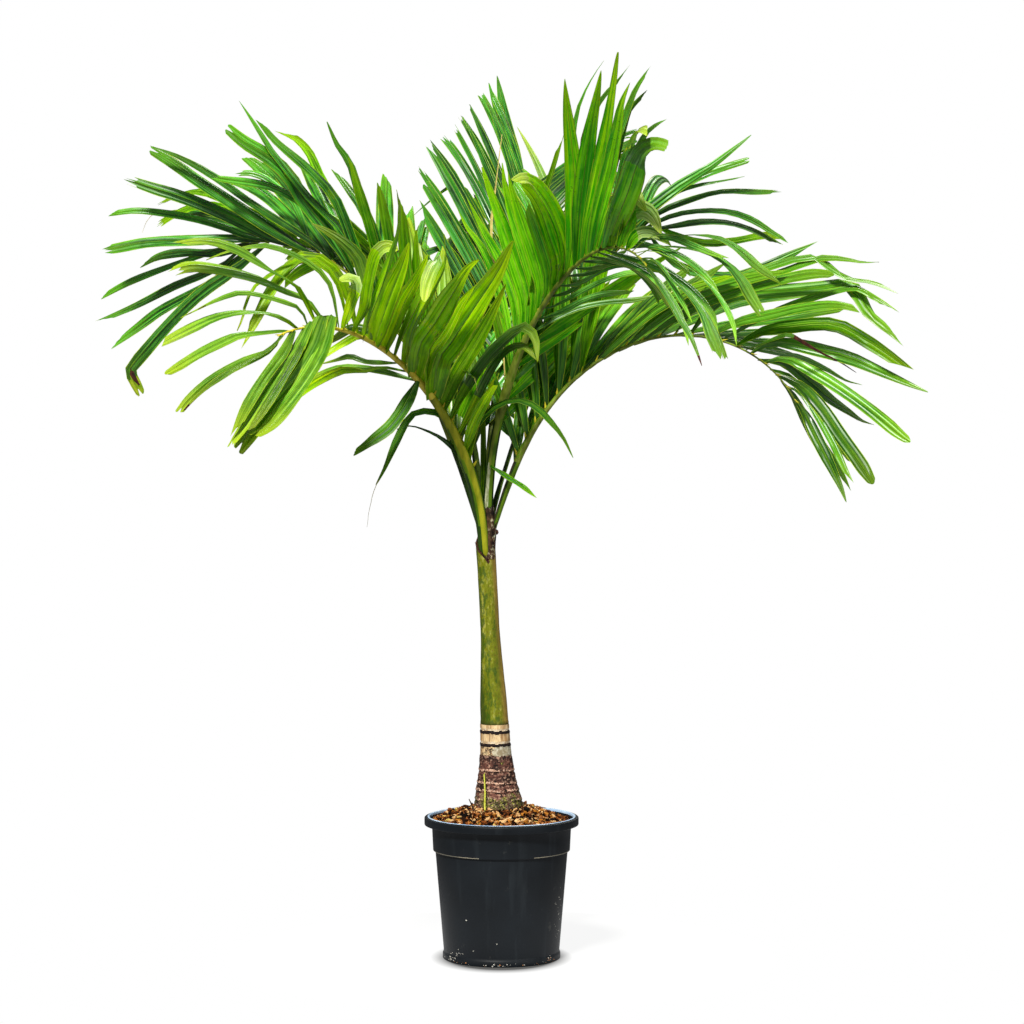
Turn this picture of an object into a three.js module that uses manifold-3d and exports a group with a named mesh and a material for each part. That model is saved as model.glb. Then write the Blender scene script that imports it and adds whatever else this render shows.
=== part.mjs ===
import * as THREE from "three";
import { mergeVertices } from "three/addons/utils/BufferGeometryUtils.js";
import Module from "manifold-3d";

// A young Christmas palm in a round nursery pot, about two metres tall.
// Millimetres and degrees, +Z up, origin in the middle of the pot's underside, viewer on the -Y side.

const wasm = await Module();
wasm.setup();

const { lerp, degToRad } = THREE.MathUtils;

// Driving dimensions
const clearance = 0.3; // between pieces that bear on each other
const roundSides = 32; // facets round the pot and the soil

const pot = {
  height: 312,
  rimRadius: 169.5,
  rimInner: 158,
  rimDepth: 18,
  collarRadius: 153, // the band under the rim, a little narrower at its foot
  collarFootRadius: 150.5,
  collarFoot: 238, // height of the step where the collar ends
  stepRadius: 145.5,
  baseRadius: 127,
  footRadius: 129.5, // a low bead round the base
  footHeight: 14,
  wall: 3,
  bevel: 3,
};

const soil = {
  edgeHeight: 297, // at the pot's wall
  moundHeight: 325, // where the stem stands on it
  moundRadius: 64,
};

const stem = {
  topOfTrunk: 516, // the grey ringed trunk ends here and the green crownshaft begins
  topOfCrownshaft: 886,
  topOfSheath: 1000,
  footCentre: -8, // x of the stem's middle at the soil, it leans to the left above
  lean: 26, // how far it has moved to the left by leanHeight
  leanHeight: 575,
  leanPower: 1.15,
  trunkRadius: 29.5,
  flare: 26, // added to the radius at the soil
  flareReach: 0.33, // share of the trunk over which half of the flare is gone
  flarePower: 2.1,
  crownshaftRadius: 20.8,
  crownshaftSwell: 9.6, // extra radius at its foot
  swellHeight: 224,
  sheathTopRadius: 12.5,
  sides: 16,
};

const rib = {
  steps: 60, // short straight steps that the bent rib is worked out in
  footRadius: 8.5,
  middleRadius: 5.2,
  middleAt: 0.4, // share of the rib
  tipRadius: 1.8,
  flat: 0.8, // height of its section against its width
  stalkShare: 0.9, // the bare stalk ends this far along the way to the first leaflet
  sides: 6,
  stalkRings: 5,
  bladeRings: 7,
};

const leaflet = {
  steps: 12, // short straight steps that the drooping blade is worked out in
  stations: [0, 4, 8, 12], // steps that get a section, the last one is the tip
  thickness: 0.0135, // height of the ridge as a share of the length
  rootWidth: 0.22,
  swellEnd: 0.38, // share of the length where it is widest
  taper: 0.3, // share of the length over which it narrows to the tip
  tipWidth: 0.35,
  stagger: 0.22, // the two of a pair root this far before and behind its middle
  crowding: 0.93, // below 1, pairs stand closer towards the tip of the rib
  youngSpan: 0.15, // the lowest leaflets, on this share of the rib, are narrower
  youngWidth: 0.75,
  slenderFrom: 0.6, // and so are the last ones
  slenderWidth: 0.65,
  fullUntil: 0.45, // the leaflets get shorter from here to the tip of the rib
  spreadJitter: 4,
  riseJitter: 6,
  lengthJitter: 0.07,
  droopJitter: 0.4,
  widthJitter: 0.12,
  shorter: [1, 0.82, 0.64], // shares of the length tried where it would touch something
  turns: [0, 7, -7, 14, -14, 21, -21, 30, -30, 40, -40], // changes of its angle of rise tried there
};

const spear = { height: 470, radius: 8, lean: 3, azimuth: 100 };

const green = { old: "#4f8f2c", fresh: "#8fb82e", deep: "#2f7a35", back: "#4b9a5c" };

// Each frond leaves the stem at its foot, heads for its azimuth and bends over from the first lean
// to the second. spread is the angle of a leaflet to the rib, rise its angle above the frond's own
// plane on each side, all from the lowest leaflet to the last one. Strays are the odd leaflets that
// hang by themselves under the crown.
const fronds = [
  {
    name: "frond_front_left",
    foot: [-38, -12, 905], azimuth: 209, turn: 30, lean: [3, 107], bend: 1.05, length: 891,
    firstLeaf: 0.18, pairs: 14, splitPair: 6, roll: [-9, -15], tilt: [-30, 0],
    spread: [56, 22], riseLeft: [63, -12], riseRight: [57, 23], droop: [17, 57],
    leafLength: 458, leafWidth: 49, fullFrom: 0.15, firstShare: 0.56, lastShare: 0.9,
    color: green.fresh,
    strays: [
      { part: "inner", at: 0.22, side: 1, length: 380, spread: 58, rise: -30, droop: 150, width: 15 },
      { part: "inner", at: 0.5, side: 1, length: 250, spread: 105, rise: -45, droop: 10, width: 42 },
    ],
  },
  {
    name: "frond_front_right",
    foot: [-30, -8, 1000], azimuth: -48, turn: -27, lean: [4, 115], bend: 1.11, length: 1060,
    firstLeaf: 0.16, pairs: 15, splitPair: 7, roll: [-26, -33], tilt: [20, -36],
    spread: [47, 16], riseLeft: [40, 24], riseRight: [62, 38], droop: [3, 31],
    leafLength: 521, leafWidth: 43, fullFrom: 0.55, firstShare: 0.5, lastShare: 0.75,
    color: green.old,
    strays: [
      { part: "stalk", at: 0.08, side: -1, length: 130, spread: 108, rise: -62, droop: 20, width: 14 },
    ],
  },
  {
    name: "frond_right",
    foot: [-16, -2, 955], azimuth: -7, turn: 1, lean: [17, 154], bend: 1.6, length: 931,
    firstLeaf: 0.13, pairs: 15, splitPair: 8, roll: [-6, -19], tilt: [-45, -34],
    spread: [44, 26], riseLeft: [32, 19], riseRight: [65, 27], droop: [14, 34],
    leafLength: 464, leafWidth: 38, fullFrom: 0.6, firstShare: 0.61, lastShare: 0.63,
    color: green.old,
    strays: [
      { part: "inner", at: 0.15, side: 1, length: 330, spread: 24, rise: -20, droop: 165, width: 15 },
    ],
  },
  {
    name: "frond_left",
    foot: [-43, 4, 950], azimuth: 167, turn: -16, lean: [20, 103], bend: 2.45, length: 946,
    firstLeaf: 0.2, pairs: 14, splitPair: 8, roll: [11, 10], tilt: [-26, -29],
    spread: [55, 7], riseLeft: [49, 13], riseRight: [30, 37], droop: [5, 38],
    leafLength: 490, leafWidth: 36, fullFrom: 0.5, firstShare: 0.46, lastShare: 0.85,
    color: green.deep,
    strays: [],
  },
  {
    name: "frond_back_right",
    foot: [-24, 10, 970], azimuth: 45, turn: 1, lean: [22, 62], bend: 1.5, length: 867,
    firstLeaf: 0.2, pairs: 12, splitPair: 7, roll: [0, -10], tilt: [-20, -20],
    spread: [59, 22], riseLeft: [46, 36], riseRight: [55, 18], droop: [17, 57],
    leafLength: 442, leafWidth: 39, fullFrom: 0.12, firstShare: 0.49, lastShare: 0.8,
    color: green.deep,
    strays: [],
  },
  {
    name: "frond_back",
    foot: [-32, 10, 990], azimuth: 78, turn: 1, lean: [12, 62], bend: 1, length: 978,
    firstLeaf: 0.25, pairs: 14, splitPair: 7, roll: [-1, 13], tilt: [0, 0],
    spread: [47, 29], riseLeft: [36, 39], riseRight: [48, 22], droop: [10, 42],
    leafLength: 393, leafWidth: 36, fullFrom: 0.28, firstShare: 0.8, lastShare: 0.94,
    color: green.back,
    strays: [],
  },
  {
    name: "frond_back_left",
    foot: [-40, 10, 960], azimuth: 124, turn: -6, lean: [10, 88], bend: 1.5, length: 820,
    firstLeaf: 0.2, pairs: 12, splitPair: 6, roll: [0, 0], tilt: [-30, -30],
    spread: [48, 20], riseLeft: [38, 24], riseRight: [38, 24], droop: [14, 50],
    leafLength: 400, leafWidth: 41, fullFrom: 0.22, firstShare: 0.62, lastShare: 0.8,
    color: green.deep,
    strays: [],
  },
];

// Closed solids from rings of points and from profiles

function solidOf(geometry) {
  const bare = new THREE.BufferGeometry();
  bare.setAttribute("position", geometry.getAttribute("position"));
  bare.setIndex(geometry.index);
  const merged = mergeVertices(bare, 1e-3);
  const mesh = new wasm.Mesh({
    numProp: 3,
    vertProperties: merged.getAttribute("position").array,
    triVerts: new Uint32Array(merged.index.array),
  });
  return new wasm.Manifold(mesh);
}

function geometryOf(solid) {
  const mesh = solid.getMesh();
  const geometry = new THREE.BufferGeometry();
  geometry.setAttribute("position", new THREE.BufferAttribute(mesh.vertProperties, mesh.numProp));
  geometry.setIndex(new THREE.BufferAttribute(mesh.triVerts, 1));
  geometry.computeVertexNormals();
  return geometry;
}

// Rings run from one end to the other, counted anticlockwise seen from the far end.
// A last ring of a single point makes a pointed tip.
function skin(rings) {
  const places = rings.flat().flatMap((point) => point.toArray());
  const faces = [];
  const sides = rings[0].length;
  const lastStart = sides * (rings.length - 1);
  const pointed = rings.at(-1).length === 1;
  for (let ring = 0; ring < rings.length - 1; ring += 1) {
    const near = ring * sides;
    for (let i = 0; i < sides; i += 1) {
      const next = (i + 1) % sides;
      if (pointed && near + sides === lastStart) {
        faces.push(near + i, near + next, lastStart);
      } else {
        faces.push(near + i, near + next, near + sides + next);
        faces.push(near + i, near + sides + next, near + sides + i);
      }
    }
  }
  for (let i = 1; i < sides - 1; i += 1) {
    faces.push(0, i + 1, i);
    if (!pointed) faces.push(lastStart, lastStart + i, lastStart + i + 1);
  }
  const geometry = new THREE.BufferGeometry();
  geometry.setAttribute("position", new THREE.BufferAttribute(new Float32Array(places), 3));
  geometry.setIndex(faces);
  return geometry;
}

function turned(profile) {
  const points = profile.map(([radius, height]) => new THREE.Vector2(radius, height));
  return new THREE.LatheGeometry(points, roundSides).rotateX(Math.PI / 2);
}

function largestBody(solid) {
  return solid.decompose().reduce((best, body) => (body.volume() > best.volume() ? body : best));
}

// Pot and soil

// Radius of the pot's outside at a height, below the collar.
function bodyRadius(height) {
  return lerp(pot.baseRadius, pot.stepRadius, (height - pot.footHeight) / (pot.collarFoot - pot.footHeight));
}

const innerStep = pot.collarFoot - pot.wall; // height of the ledge inside, under the collar

function makePot() {
  const throat = pot.collarRadius - pot.wall;
  const rimFoot = pot.height - pot.rimDepth;
  return turned([
    [0, 0],
    [pot.footRadius - 1, 0],
    [pot.footRadius, 2],
    [pot.footRadius, pot.footHeight - 1],
    [pot.baseRadius, pot.footHeight + 3],
    [pot.stepRadius, pot.collarFoot],
    [pot.collarFootRadius, pot.collarFoot + 2],
    [pot.collarRadius, rimFoot],
    [pot.rimRadius, rimFoot + 1],
    [pot.rimRadius, pot.height - pot.bevel],
    [pot.rimRadius - pot.bevel, pot.height],
    [pot.rimInner, pot.height],
    [pot.rimInner, pot.height - pot.bevel],
    [throat, rimFoot + 2],
    [pot.collarFootRadius - pot.wall, innerStep + 2],
    [pot.stepRadius - pot.wall, innerStep],
    [bodyRadius(2 * pot.footHeight) - pot.wall, 2 * pot.footHeight],
    [pot.baseRadius - pot.wall - 1, pot.wall],
    [0, pot.wall],
  ]);
}

function makeSoil() {
  const ledge = pot.stepRadius - pot.wall - clearance;
  const aboveLedge = pot.collarFootRadius - pot.wall - clearance;
  const edge = pot.collarRadius - pot.wall - clearance;
  return turned([
    [0, pot.wall + clearance],
    [pot.baseRadius - pot.wall - 2, pot.wall + clearance],
    [bodyRadius(2 * pot.footHeight) - pot.wall - clearance, 2 * pot.footHeight],
    [ledge, innerStep + clearance],
    [aboveLedge, innerStep + 2 + clearance],
    [edge, pot.height - pot.rimDepth],
    [edge, soil.edgeHeight],
    [lerp(edge, soil.moundRadius, 0.5), lerp(soil.edgeHeight, soil.moundHeight, 0.62)],
    [soil.moundRadius, soil.moundHeight],
    [0, soil.moundHeight],
  ]);
}

// Stem

function stemCentre(height) {
  const share = Math.max(0, height - soil.moundHeight) / stem.leanHeight;
  return stem.footCentre - stem.lean * share ** stem.leanPower;
}

function trunkRadius(height) {
  const share = (height - soil.moundHeight) / (stem.topOfTrunk - soil.moundHeight);
  return stem.trunkRadius + stem.flare / (1 + (share / stem.flareReach) ** stem.flarePower);
}

function crownshaftRadius(height) {
  const share = (height - stem.topOfTrunk) / stem.swellHeight;
  return stem.crownshaftRadius + stem.crownshaftSwell * (1 - THREE.MathUtils.smoothstep(share, 0, 1));
}

function sheathRadius(height) {
  const share = (height - stem.topOfCrownshaft) / (stem.topOfSheath - stem.topOfCrownshaft);
  return lerp(stem.crownshaftRadius - 1, stem.sheathTopRadius, share);
}

// A round piece of the stem between two heights, ringed at even steps.
function stemPiece(from, to, radiusAt, rings, grow = 0) {
  const made = [];
  for (let i = 0; i < rings; i += 1) {
    const height = lerp(from, to, i / (rings - 1));
    const ring = [];
    for (let side = 0; side < stem.sides; side += 1) {
      const angle = (2 * Math.PI * side) / stem.sides;
      const radius = radiusAt(height) + grow;
      ring.push(new THREE.Vector3(
        stemCentre(height) + radius * Math.cos(angle),
        radius * Math.sin(angle),
        height,
      ));
    }
    made.push(ring);
  }
  return skin(made);
}

// Fronds

// A number from 0 to 1 that is always the same for the same leaflet.
function chance(frondNumber, leafNumber, draw) {
  const x = Math.sin(frondNumber * 12.9898 + leafNumber * 78.233 + draw * 37.719) * 43758.5453;
  return x - Math.floor(x);
}

// Share of the way from a starting share to 1, and 0 before it.
function after(share, from) {
  return Math.max(0, (share - from) / (1 - from));
}

function ribLine(frond) {
  const points = [new THREE.Vector3(...frond.foot)];
  const ways = [];
  for (let i = 0; i < rib.steps; i += 1) {
    const share = (i + 0.5) / rib.steps;
    const lean = degToRad(lerp(frond.lean[0], frond.lean[1], share ** frond.bend));
    const heading = degToRad(frond.azimuth + frond.turn * share);
    const way = new THREE.Vector3().setFromSphericalCoords(1, lean, 0);
    way.set(way.z * Math.cos(heading), way.z * Math.sin(heading), way.y);
    ways.push(way);
    points.push(points[i].clone().addScaledVector(way, frond.length / rib.steps));
  }
  return { points, ways };
}

// Place on the rib, its way there, and the frond's right-hand side and upper side.
function placeOnRib(frond, line, share) {
  const along = Math.min(share * rib.steps, rib.steps - 1e-4);
  const step = Math.floor(along);
  const point = line.points[step].clone().lerp(line.points[step + 1], along - step);
  const middle = THREE.MathUtils.clamp(along - 0.5, 0, rib.steps - 1.001);
  const before = Math.floor(middle);
  const way = line.ways[before].clone().lerp(line.ways[before + 1], middle - before).normalize();
  const heading = degToRad(frond.azimuth + frond.turn * share);
  const right = new THREE.Vector3(Math.sin(heading), -Math.cos(heading), 0);
  const upper = right.clone().cross(way).normalize();
  const roll = degToRad(lerp(frond.roll[0], frond.roll[1], share));
  right.applyAxisAngle(way, roll);
  upper.applyAxisAngle(way, roll);
  return { point, way, right, upper };
}

function ribRadius(share) {
  if (share < rib.middleAt) return lerp(rib.footRadius, rib.middleRadius, share / rib.middleAt);
  return lerp(rib.middleRadius, rib.tipRadius, after(share, rib.middleAt));
}

function ribPiece(frond, line, from, to, rings, grow = 0) {
  const made = [];
  for (let i = 0; i < rings; i += 1) {
    const share = lerp(from, to, i / (rings - 1));
    const { point, right, upper } = placeOnRib(frond, line, share);
    const radius = ribRadius(share) + grow;
    const ring = [];
    for (let side = 0; side < rib.sides; side += 1) {
      const angle = (-2 * Math.PI * side) / rib.sides;
      ring.push(point.clone()
        .addScaledVector(right, radius * Math.cos(angle))
        .addScaledVector(upper, radius * rib.flat * Math.sin(angle)));
    }
    made.push(ring);
  }
  return skin(made);
}

// Every leaflet of a frond: where it roots, its first direction, length, width and droop.
function leafletsOf(frond, number) {
  const made = [];
  for (let pair = 0; pair < frond.pairs; pair += 1) {
    for (const side of [-1, 1]) {
      const leafNumber = 2 * pair + (side > 0 ? 1 : 0);
      const jitter = (draw) => 2 * chance(number, leafNumber, draw) - 1;
      const share = ((pair + 0.5 + leaflet.stagger * side) / frond.pairs) ** leaflet.crowding;
      const rise = side < 0 ? frond.riseLeft : frond.riseRight;
      const start = lerp(frond.firstShare, 1, Math.min(1, share / frond.fullFrom) ** 0.8);
      const end = lerp(1, frond.lastShare, after(share, leaflet.fullUntil) ** 1.6);
      const young = lerp(leaflet.youngWidth, 1, Math.min(1, share / leaflet.youngSpan));
      const slender = lerp(1, leaflet.slenderWidth, after(share, leaflet.slenderFrom));
      made.push({
        at: lerp(frond.firstLeaf, 1, share),
        part: pair < frond.splitPair ? "inner" : "outer",
        side,
        spread: lerp(frond.spread[0], frond.spread[1], share ** 1.2) + leaflet.spreadJitter * jitter(0),
        rise: lerp(rise[0], rise[1], share) + leaflet.riseJitter * jitter(1),
        length: frond.leafLength * start * end * (1 + leaflet.lengthJitter * jitter(2)),
        droop: lerp(frond.droop[0], frond.droop[1], share) * (1 + leaflet.droopJitter * jitter(3)),
        tilt: lerp(frond.tilt[0], frond.tilt[1], share),
        width: frond.leafWidth * young * slender * (1 + leaflet.widthJitter * jitter(5)),
      });
    }
  }
  return made;
}

// The drooping middle line of a blade, with its width axis and its upper side at each step.
function bladeLine(frond, line, leaf, lengthShare) {
  const { point, way, right, upper } = placeOnRib(frond, line, leaf.at);
  const spread = degToRad(leaf.spread);
  const rise = degToRad(leaf.rise);
  const heading = way.clone().multiplyScalar(Math.cos(spread))
    .addScaledVector(right, Math.sin(spread) * Math.cos(rise) * leaf.side)
    .addScaledVector(upper, Math.sin(spread) * Math.sin(rise));
  const across = way.clone().addScaledVector(heading, -way.dot(heading)).normalize();
  across.applyAxisAngle(heading, degToRad(leaf.tilt) * leaf.side);
  const down = new THREE.Vector3(0, 0, -1);
  const stepLength = (leaf.length * lengthShare) / leaflet.steps;
  const steps = [];
  for (let i = 0; i <= leaflet.steps; i += 1) {
    const over = across.clone().cross(heading);
    if (over.dot(upper) < 0) over.negate();
    steps.push({ point: point.clone(), across: across.clone(), over });
    const hinge = heading.clone().cross(down);
    const level = hinge.length();
    const share = (i + 0.5) / leaflet.steps;
    if (level > 1e-6) {
      const bend = (degToRad(leaf.droop) / leaflet.steps) * 2 * share * level;
      heading.applyAxisAngle(hinge.normalize(), bend);
    }
    across.addScaledVector(heading, -across.dot(heading)).normalize();
    point.addScaledVector(heading, stepLength);
  }
  return steps;
}

function bladeWidth(share) {
  const swell = lerp(leaflet.rootWidth, 1, Math.min(1, share / leaflet.swellEnd) ** 0.8);
  const taper = lerp(leaflet.tipWidth, 1, Math.min(1, (1 - share) / leaflet.taper) ** 0.75);
  return Math.min(swell, taper);
}

// A blade is flat beneath, with a raised ridge along its middle.
function bladeSolid(frond, line, leaf, lengthShare, grow = 0, firstStation = 0) {
  const steps = bladeLine(frond, line, leaf, lengthShare);
  const ridge = leaf.length * leaflet.thickness;
  const rings = leaflet.stations.slice(firstStation).map((station) => {
    const { point, across, over } = steps[station];
    const share = station / leaflet.steps;
    if (share === 1) return [point];
    const half = (leaf.width * bladeWidth(share)) / 2 + 2 * grow;
    const height = ridge * lerp(1, 0.6, share);
    return [
      point.clone().addScaledVector(across, half).addScaledVector(over, -grow - height / 3),
      point.clone().addScaledVector(over, grow + (2 * height) / 3),
      point.clone().addScaledVector(across, -half).addScaledVector(over, -grow - height / 3),
    ];
  });
  const solid = solidOf(skin(rings));
  return solid.volume() < 0 ? solidOf(skin(rings.map((ring) => ring.toReversed()))) : solid;
}

function boxesMeet(a, b) {
  return [0, 1, 2].every((axis) => a.min[axis] <= b.max[axis] && b.min[axis] <= a.max[axis]);
}

function touches(solid, others) {
  const box = solid.boundingBox();
  return others.some((other) => boxesMeet(box, other.box) && !solid.intersect(other.solid).isEmpty());
}

// Assembly

const group = new THREE.Group();

function addMesh(name, geometry, color, roughness) {
  const material = new THREE.MeshStandardMaterial({ color, roughness, metalness: 0 });
  const mesh = new THREE.Mesh(geometry, material);
  mesh.name = name;
  group.add(mesh);
}

// Every solid placed so far, with the node that it belongs to.
const placed = [];

function place(node, solid) {
  placed.push({ node, solid, box: solid.boundingBox() });
}

addMesh("pot", makePot(), "#2a2f34", 0.45);
addMesh("soil", makeSoil(), "#8a5a38", 0.95);

const stemPieces = [
  { name: "trunk", from: soil.moundHeight + clearance, to: stem.topOfTrunk, radius: trunkRadius, rings: 9 },
  {
    name: "crownshaft", from: stem.topOfTrunk + clearance, to: stem.topOfCrownshaft,
    radius: crownshaftRadius, rings: 8,
  },
  {
    name: "inner_sheath", from: stem.topOfCrownshaft + clearance, to: stem.topOfSheath,
    radius: sheathRadius, rings: 4,
  },
];
const stemColors = { trunk: "#8d6f57", crownshaft: "#96a03a", inner_sheath: "#8fa048" };
for (const piece of stemPieces) {
  const geometry = stemPiece(piece.from, piece.to, piece.radius, piece.rings);
  place(piece.name, solidOf(geometry));
  addMesh(piece.name, geometry, stemColors[piece.name], 0.7);
}

const lines = fronds.map((frond) => ribLine(frond));
const parts = new Map();

// Stalks bear on the stem and on each other, so each is cut clear of those made before it.
const carriers = stemPieces.map((piece) => (
  solidOf(stemPiece(piece.from - clearance, piece.to + clearance, piece.radius, piece.rings, clearance))
));
fronds.forEach((frond, number) => {
  const line = lines[number];
  const splitShare = (frond.splitPair / frond.pairs) ** leaflet.crowding;
  const split = lerp(frond.firstLeaf, 1, splitShare);
  const joint = clearance / 2 / frond.length;
  const bladeStart = frond.firstLeaf * rib.stalkShare;
  let stalk = solidOf(ribPiece(frond, line, 0, bladeStart - joint, rib.stalkRings));
  for (const carrier of carriers) stalk = stalk.subtract(carrier);
  stalk = largestBody(stalk);
  carriers.push(solidOf(ribPiece(frond, line, 0, bladeStart, rib.stalkRings, clearance)));
  const inner = solidOf(ribPiece(frond, line, bladeStart + joint, split - joint, rib.bladeRings));
  const outer = solidOf(ribPiece(frond, line, split + joint, 1, rib.bladeRings));
  for (const [part, solid] of [["stalk", stalk], ["inner", inner], ["outer", outer]]) {
    const node = frond.name + "_" + part;
    parts.set(node, { color: frond.color, solids: [solid] });
    place(node, solid);
  }
});

// The youngest leaf is still furled, a thin spear in the middle of the crown.
const spearFrond = {
  foot: [stemCentre(stem.topOfSheath), 0, stem.topOfSheath + clearance],
  azimuth: spear.azimuth, turn: 0, lean: [0, spear.lean], bend: 1, length: spear.height, roll: [0, 0],
};
const spearLine = ribLine(spearFrond);
const spearRings = [0, 0.3, 0.6, 1].map((share) => {
  const { point, right, upper } = placeOnRib(spearFrond, spearLine, share);
  const radius = spear.radius * (1 - share);
  if (share === 1) return [point];
  return Array.from({ length: rib.sides }, (_, side) => {
    const angle = (-2 * Math.PI * side) / rib.sides;
    return point.clone()
      .addScaledVector(right, radius * Math.cos(angle))
      .addScaledVector(upper, radius * Math.sin(angle));
  });
});
let spearSolid = solidOf(skin(spearRings));
for (const carrier of carriers) spearSolid = spearSolid.subtract(carrier);
spearSolid = largestBody(spearSolid);
place("spear_leaf", spearSolid);
addMesh("spear_leaf", geometryOf(spearSolid), green.fresh, 0.6);

// A leaflet keeps its angle and length if it is clear there, or takes the nearest angle that is,
// or is shortened. One that would still touch another piece is left off.
function placedLeaflet(frond, line, leaf, others, own) {
  for (const share of leaflet.shorter) {
    for (const crossingAllowed of [false, true]) {
      for (const turn of leaflet.turns) {
        const turned = { ...leaf, rise: leaf.rise + turn };
        const grown = bladeSolid(frond, line, turned, share, clearance);
        if (touches(grown, others)) continue;
        const free = bladeSolid(frond, line, turned, share, 0, 1);
        if (crossingAllowed || !touches(free, own)) return bladeSolid(frond, line, turned, share);
      }
    }
  }
  return null;
}

fronds.forEach((frond, number) => {
  const line = lines[number];
  const strays = frond.strays.map((stray) => ({ ...stray, tilt: 0 }));
  for (const leaf of [...strays, ...leafletsOf(frond, number)]) {
    const node = frond.name + "_" + leaf.part;
    const others = placed.filter((item) => item.node !== node);
    const own = placed.filter((item) => item.node === node);
    const solid = placedLeaflet(frond, line, leaf, others, own);
    if (!solid) continue;
    parts.get(node).solids.push(solid);
    place(node, solid);
  }
});

for (const [node, { color, solids }] of parts) {
  const fused = largestBody(wasm.Manifold.union(solids));
  addMesh(node, geometryOf(fused), color, 0.6);
}

export default group;
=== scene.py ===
import math
import random

import bpy
import numpy as np
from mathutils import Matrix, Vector, noise


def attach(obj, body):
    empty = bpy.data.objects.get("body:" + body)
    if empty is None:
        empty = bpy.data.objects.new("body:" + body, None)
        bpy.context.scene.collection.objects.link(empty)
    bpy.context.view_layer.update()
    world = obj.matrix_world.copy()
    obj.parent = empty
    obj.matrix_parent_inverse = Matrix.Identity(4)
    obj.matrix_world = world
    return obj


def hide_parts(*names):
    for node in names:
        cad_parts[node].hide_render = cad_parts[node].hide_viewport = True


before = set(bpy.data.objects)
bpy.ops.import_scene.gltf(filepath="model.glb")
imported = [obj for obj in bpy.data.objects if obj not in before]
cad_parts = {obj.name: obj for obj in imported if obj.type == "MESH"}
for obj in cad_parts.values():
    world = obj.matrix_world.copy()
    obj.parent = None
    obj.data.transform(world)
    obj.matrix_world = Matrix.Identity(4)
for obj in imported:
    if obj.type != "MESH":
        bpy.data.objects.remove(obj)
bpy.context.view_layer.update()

# A young Christmas palm in a nursery pot.
# The shapes are worked out in millimetres, as in the solids, and made in metres.

mm = 0.001
dice = random.Random(11)
print("frame loaded")


def lerp(a, b, share):
    return a + (b - a) * share


def clamp(value, low=0.0, high=1.0):
    return max(low, min(high, value))


def smooth(share):
    share = clamp(share)
    return share * share * (3 - 2 * share)


def after(share, start):
    return max(0.0, (share - start) / (1 - start))


def bump(x, middle, width):
    return math.exp(-((x - middle) / width) ** 2)


# always the same number from 0 to 1 for the same leaflet
def chance(frondNumber, leafNumber, draw):
    x = math.sin(frondNumber * 12.9898 + leafNumber * 78.233 + draw * 37.719) * 43758.5453
    return x - math.floor(x)


def unit(v):
    return v / np.linalg.norm(v)


def turnAbout(v, axis, degrees):
    a = math.radians(degrees)
    return v * math.cos(a) + np.cross(axis, v) * math.sin(a) + axis * np.dot(axis, v) * (1 - math.cos(a))


def grain(x, y, z, octaves=3):
    return noise.fractal((x, y, z), 1.0, 2.0, octaves, noise_basis="PERLIN_ORIGINAL")


# the angles of an even ring
def turns(count):
    return [2 * math.pi * k / count for k in range(count)]


# sRGB 0 to 255, as read off a screen, to the linear colour that shaders take
def ink(r, g, b):
    linear = [(c / 255 / 12.92) if c < 10.3 else ((c / 255 + 0.055) / 1.055) ** 2.4 for c in (r, g, b)]
    return (*linear, 1.0)


# Meshes are gathered as points and faces, then made into one object

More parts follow.
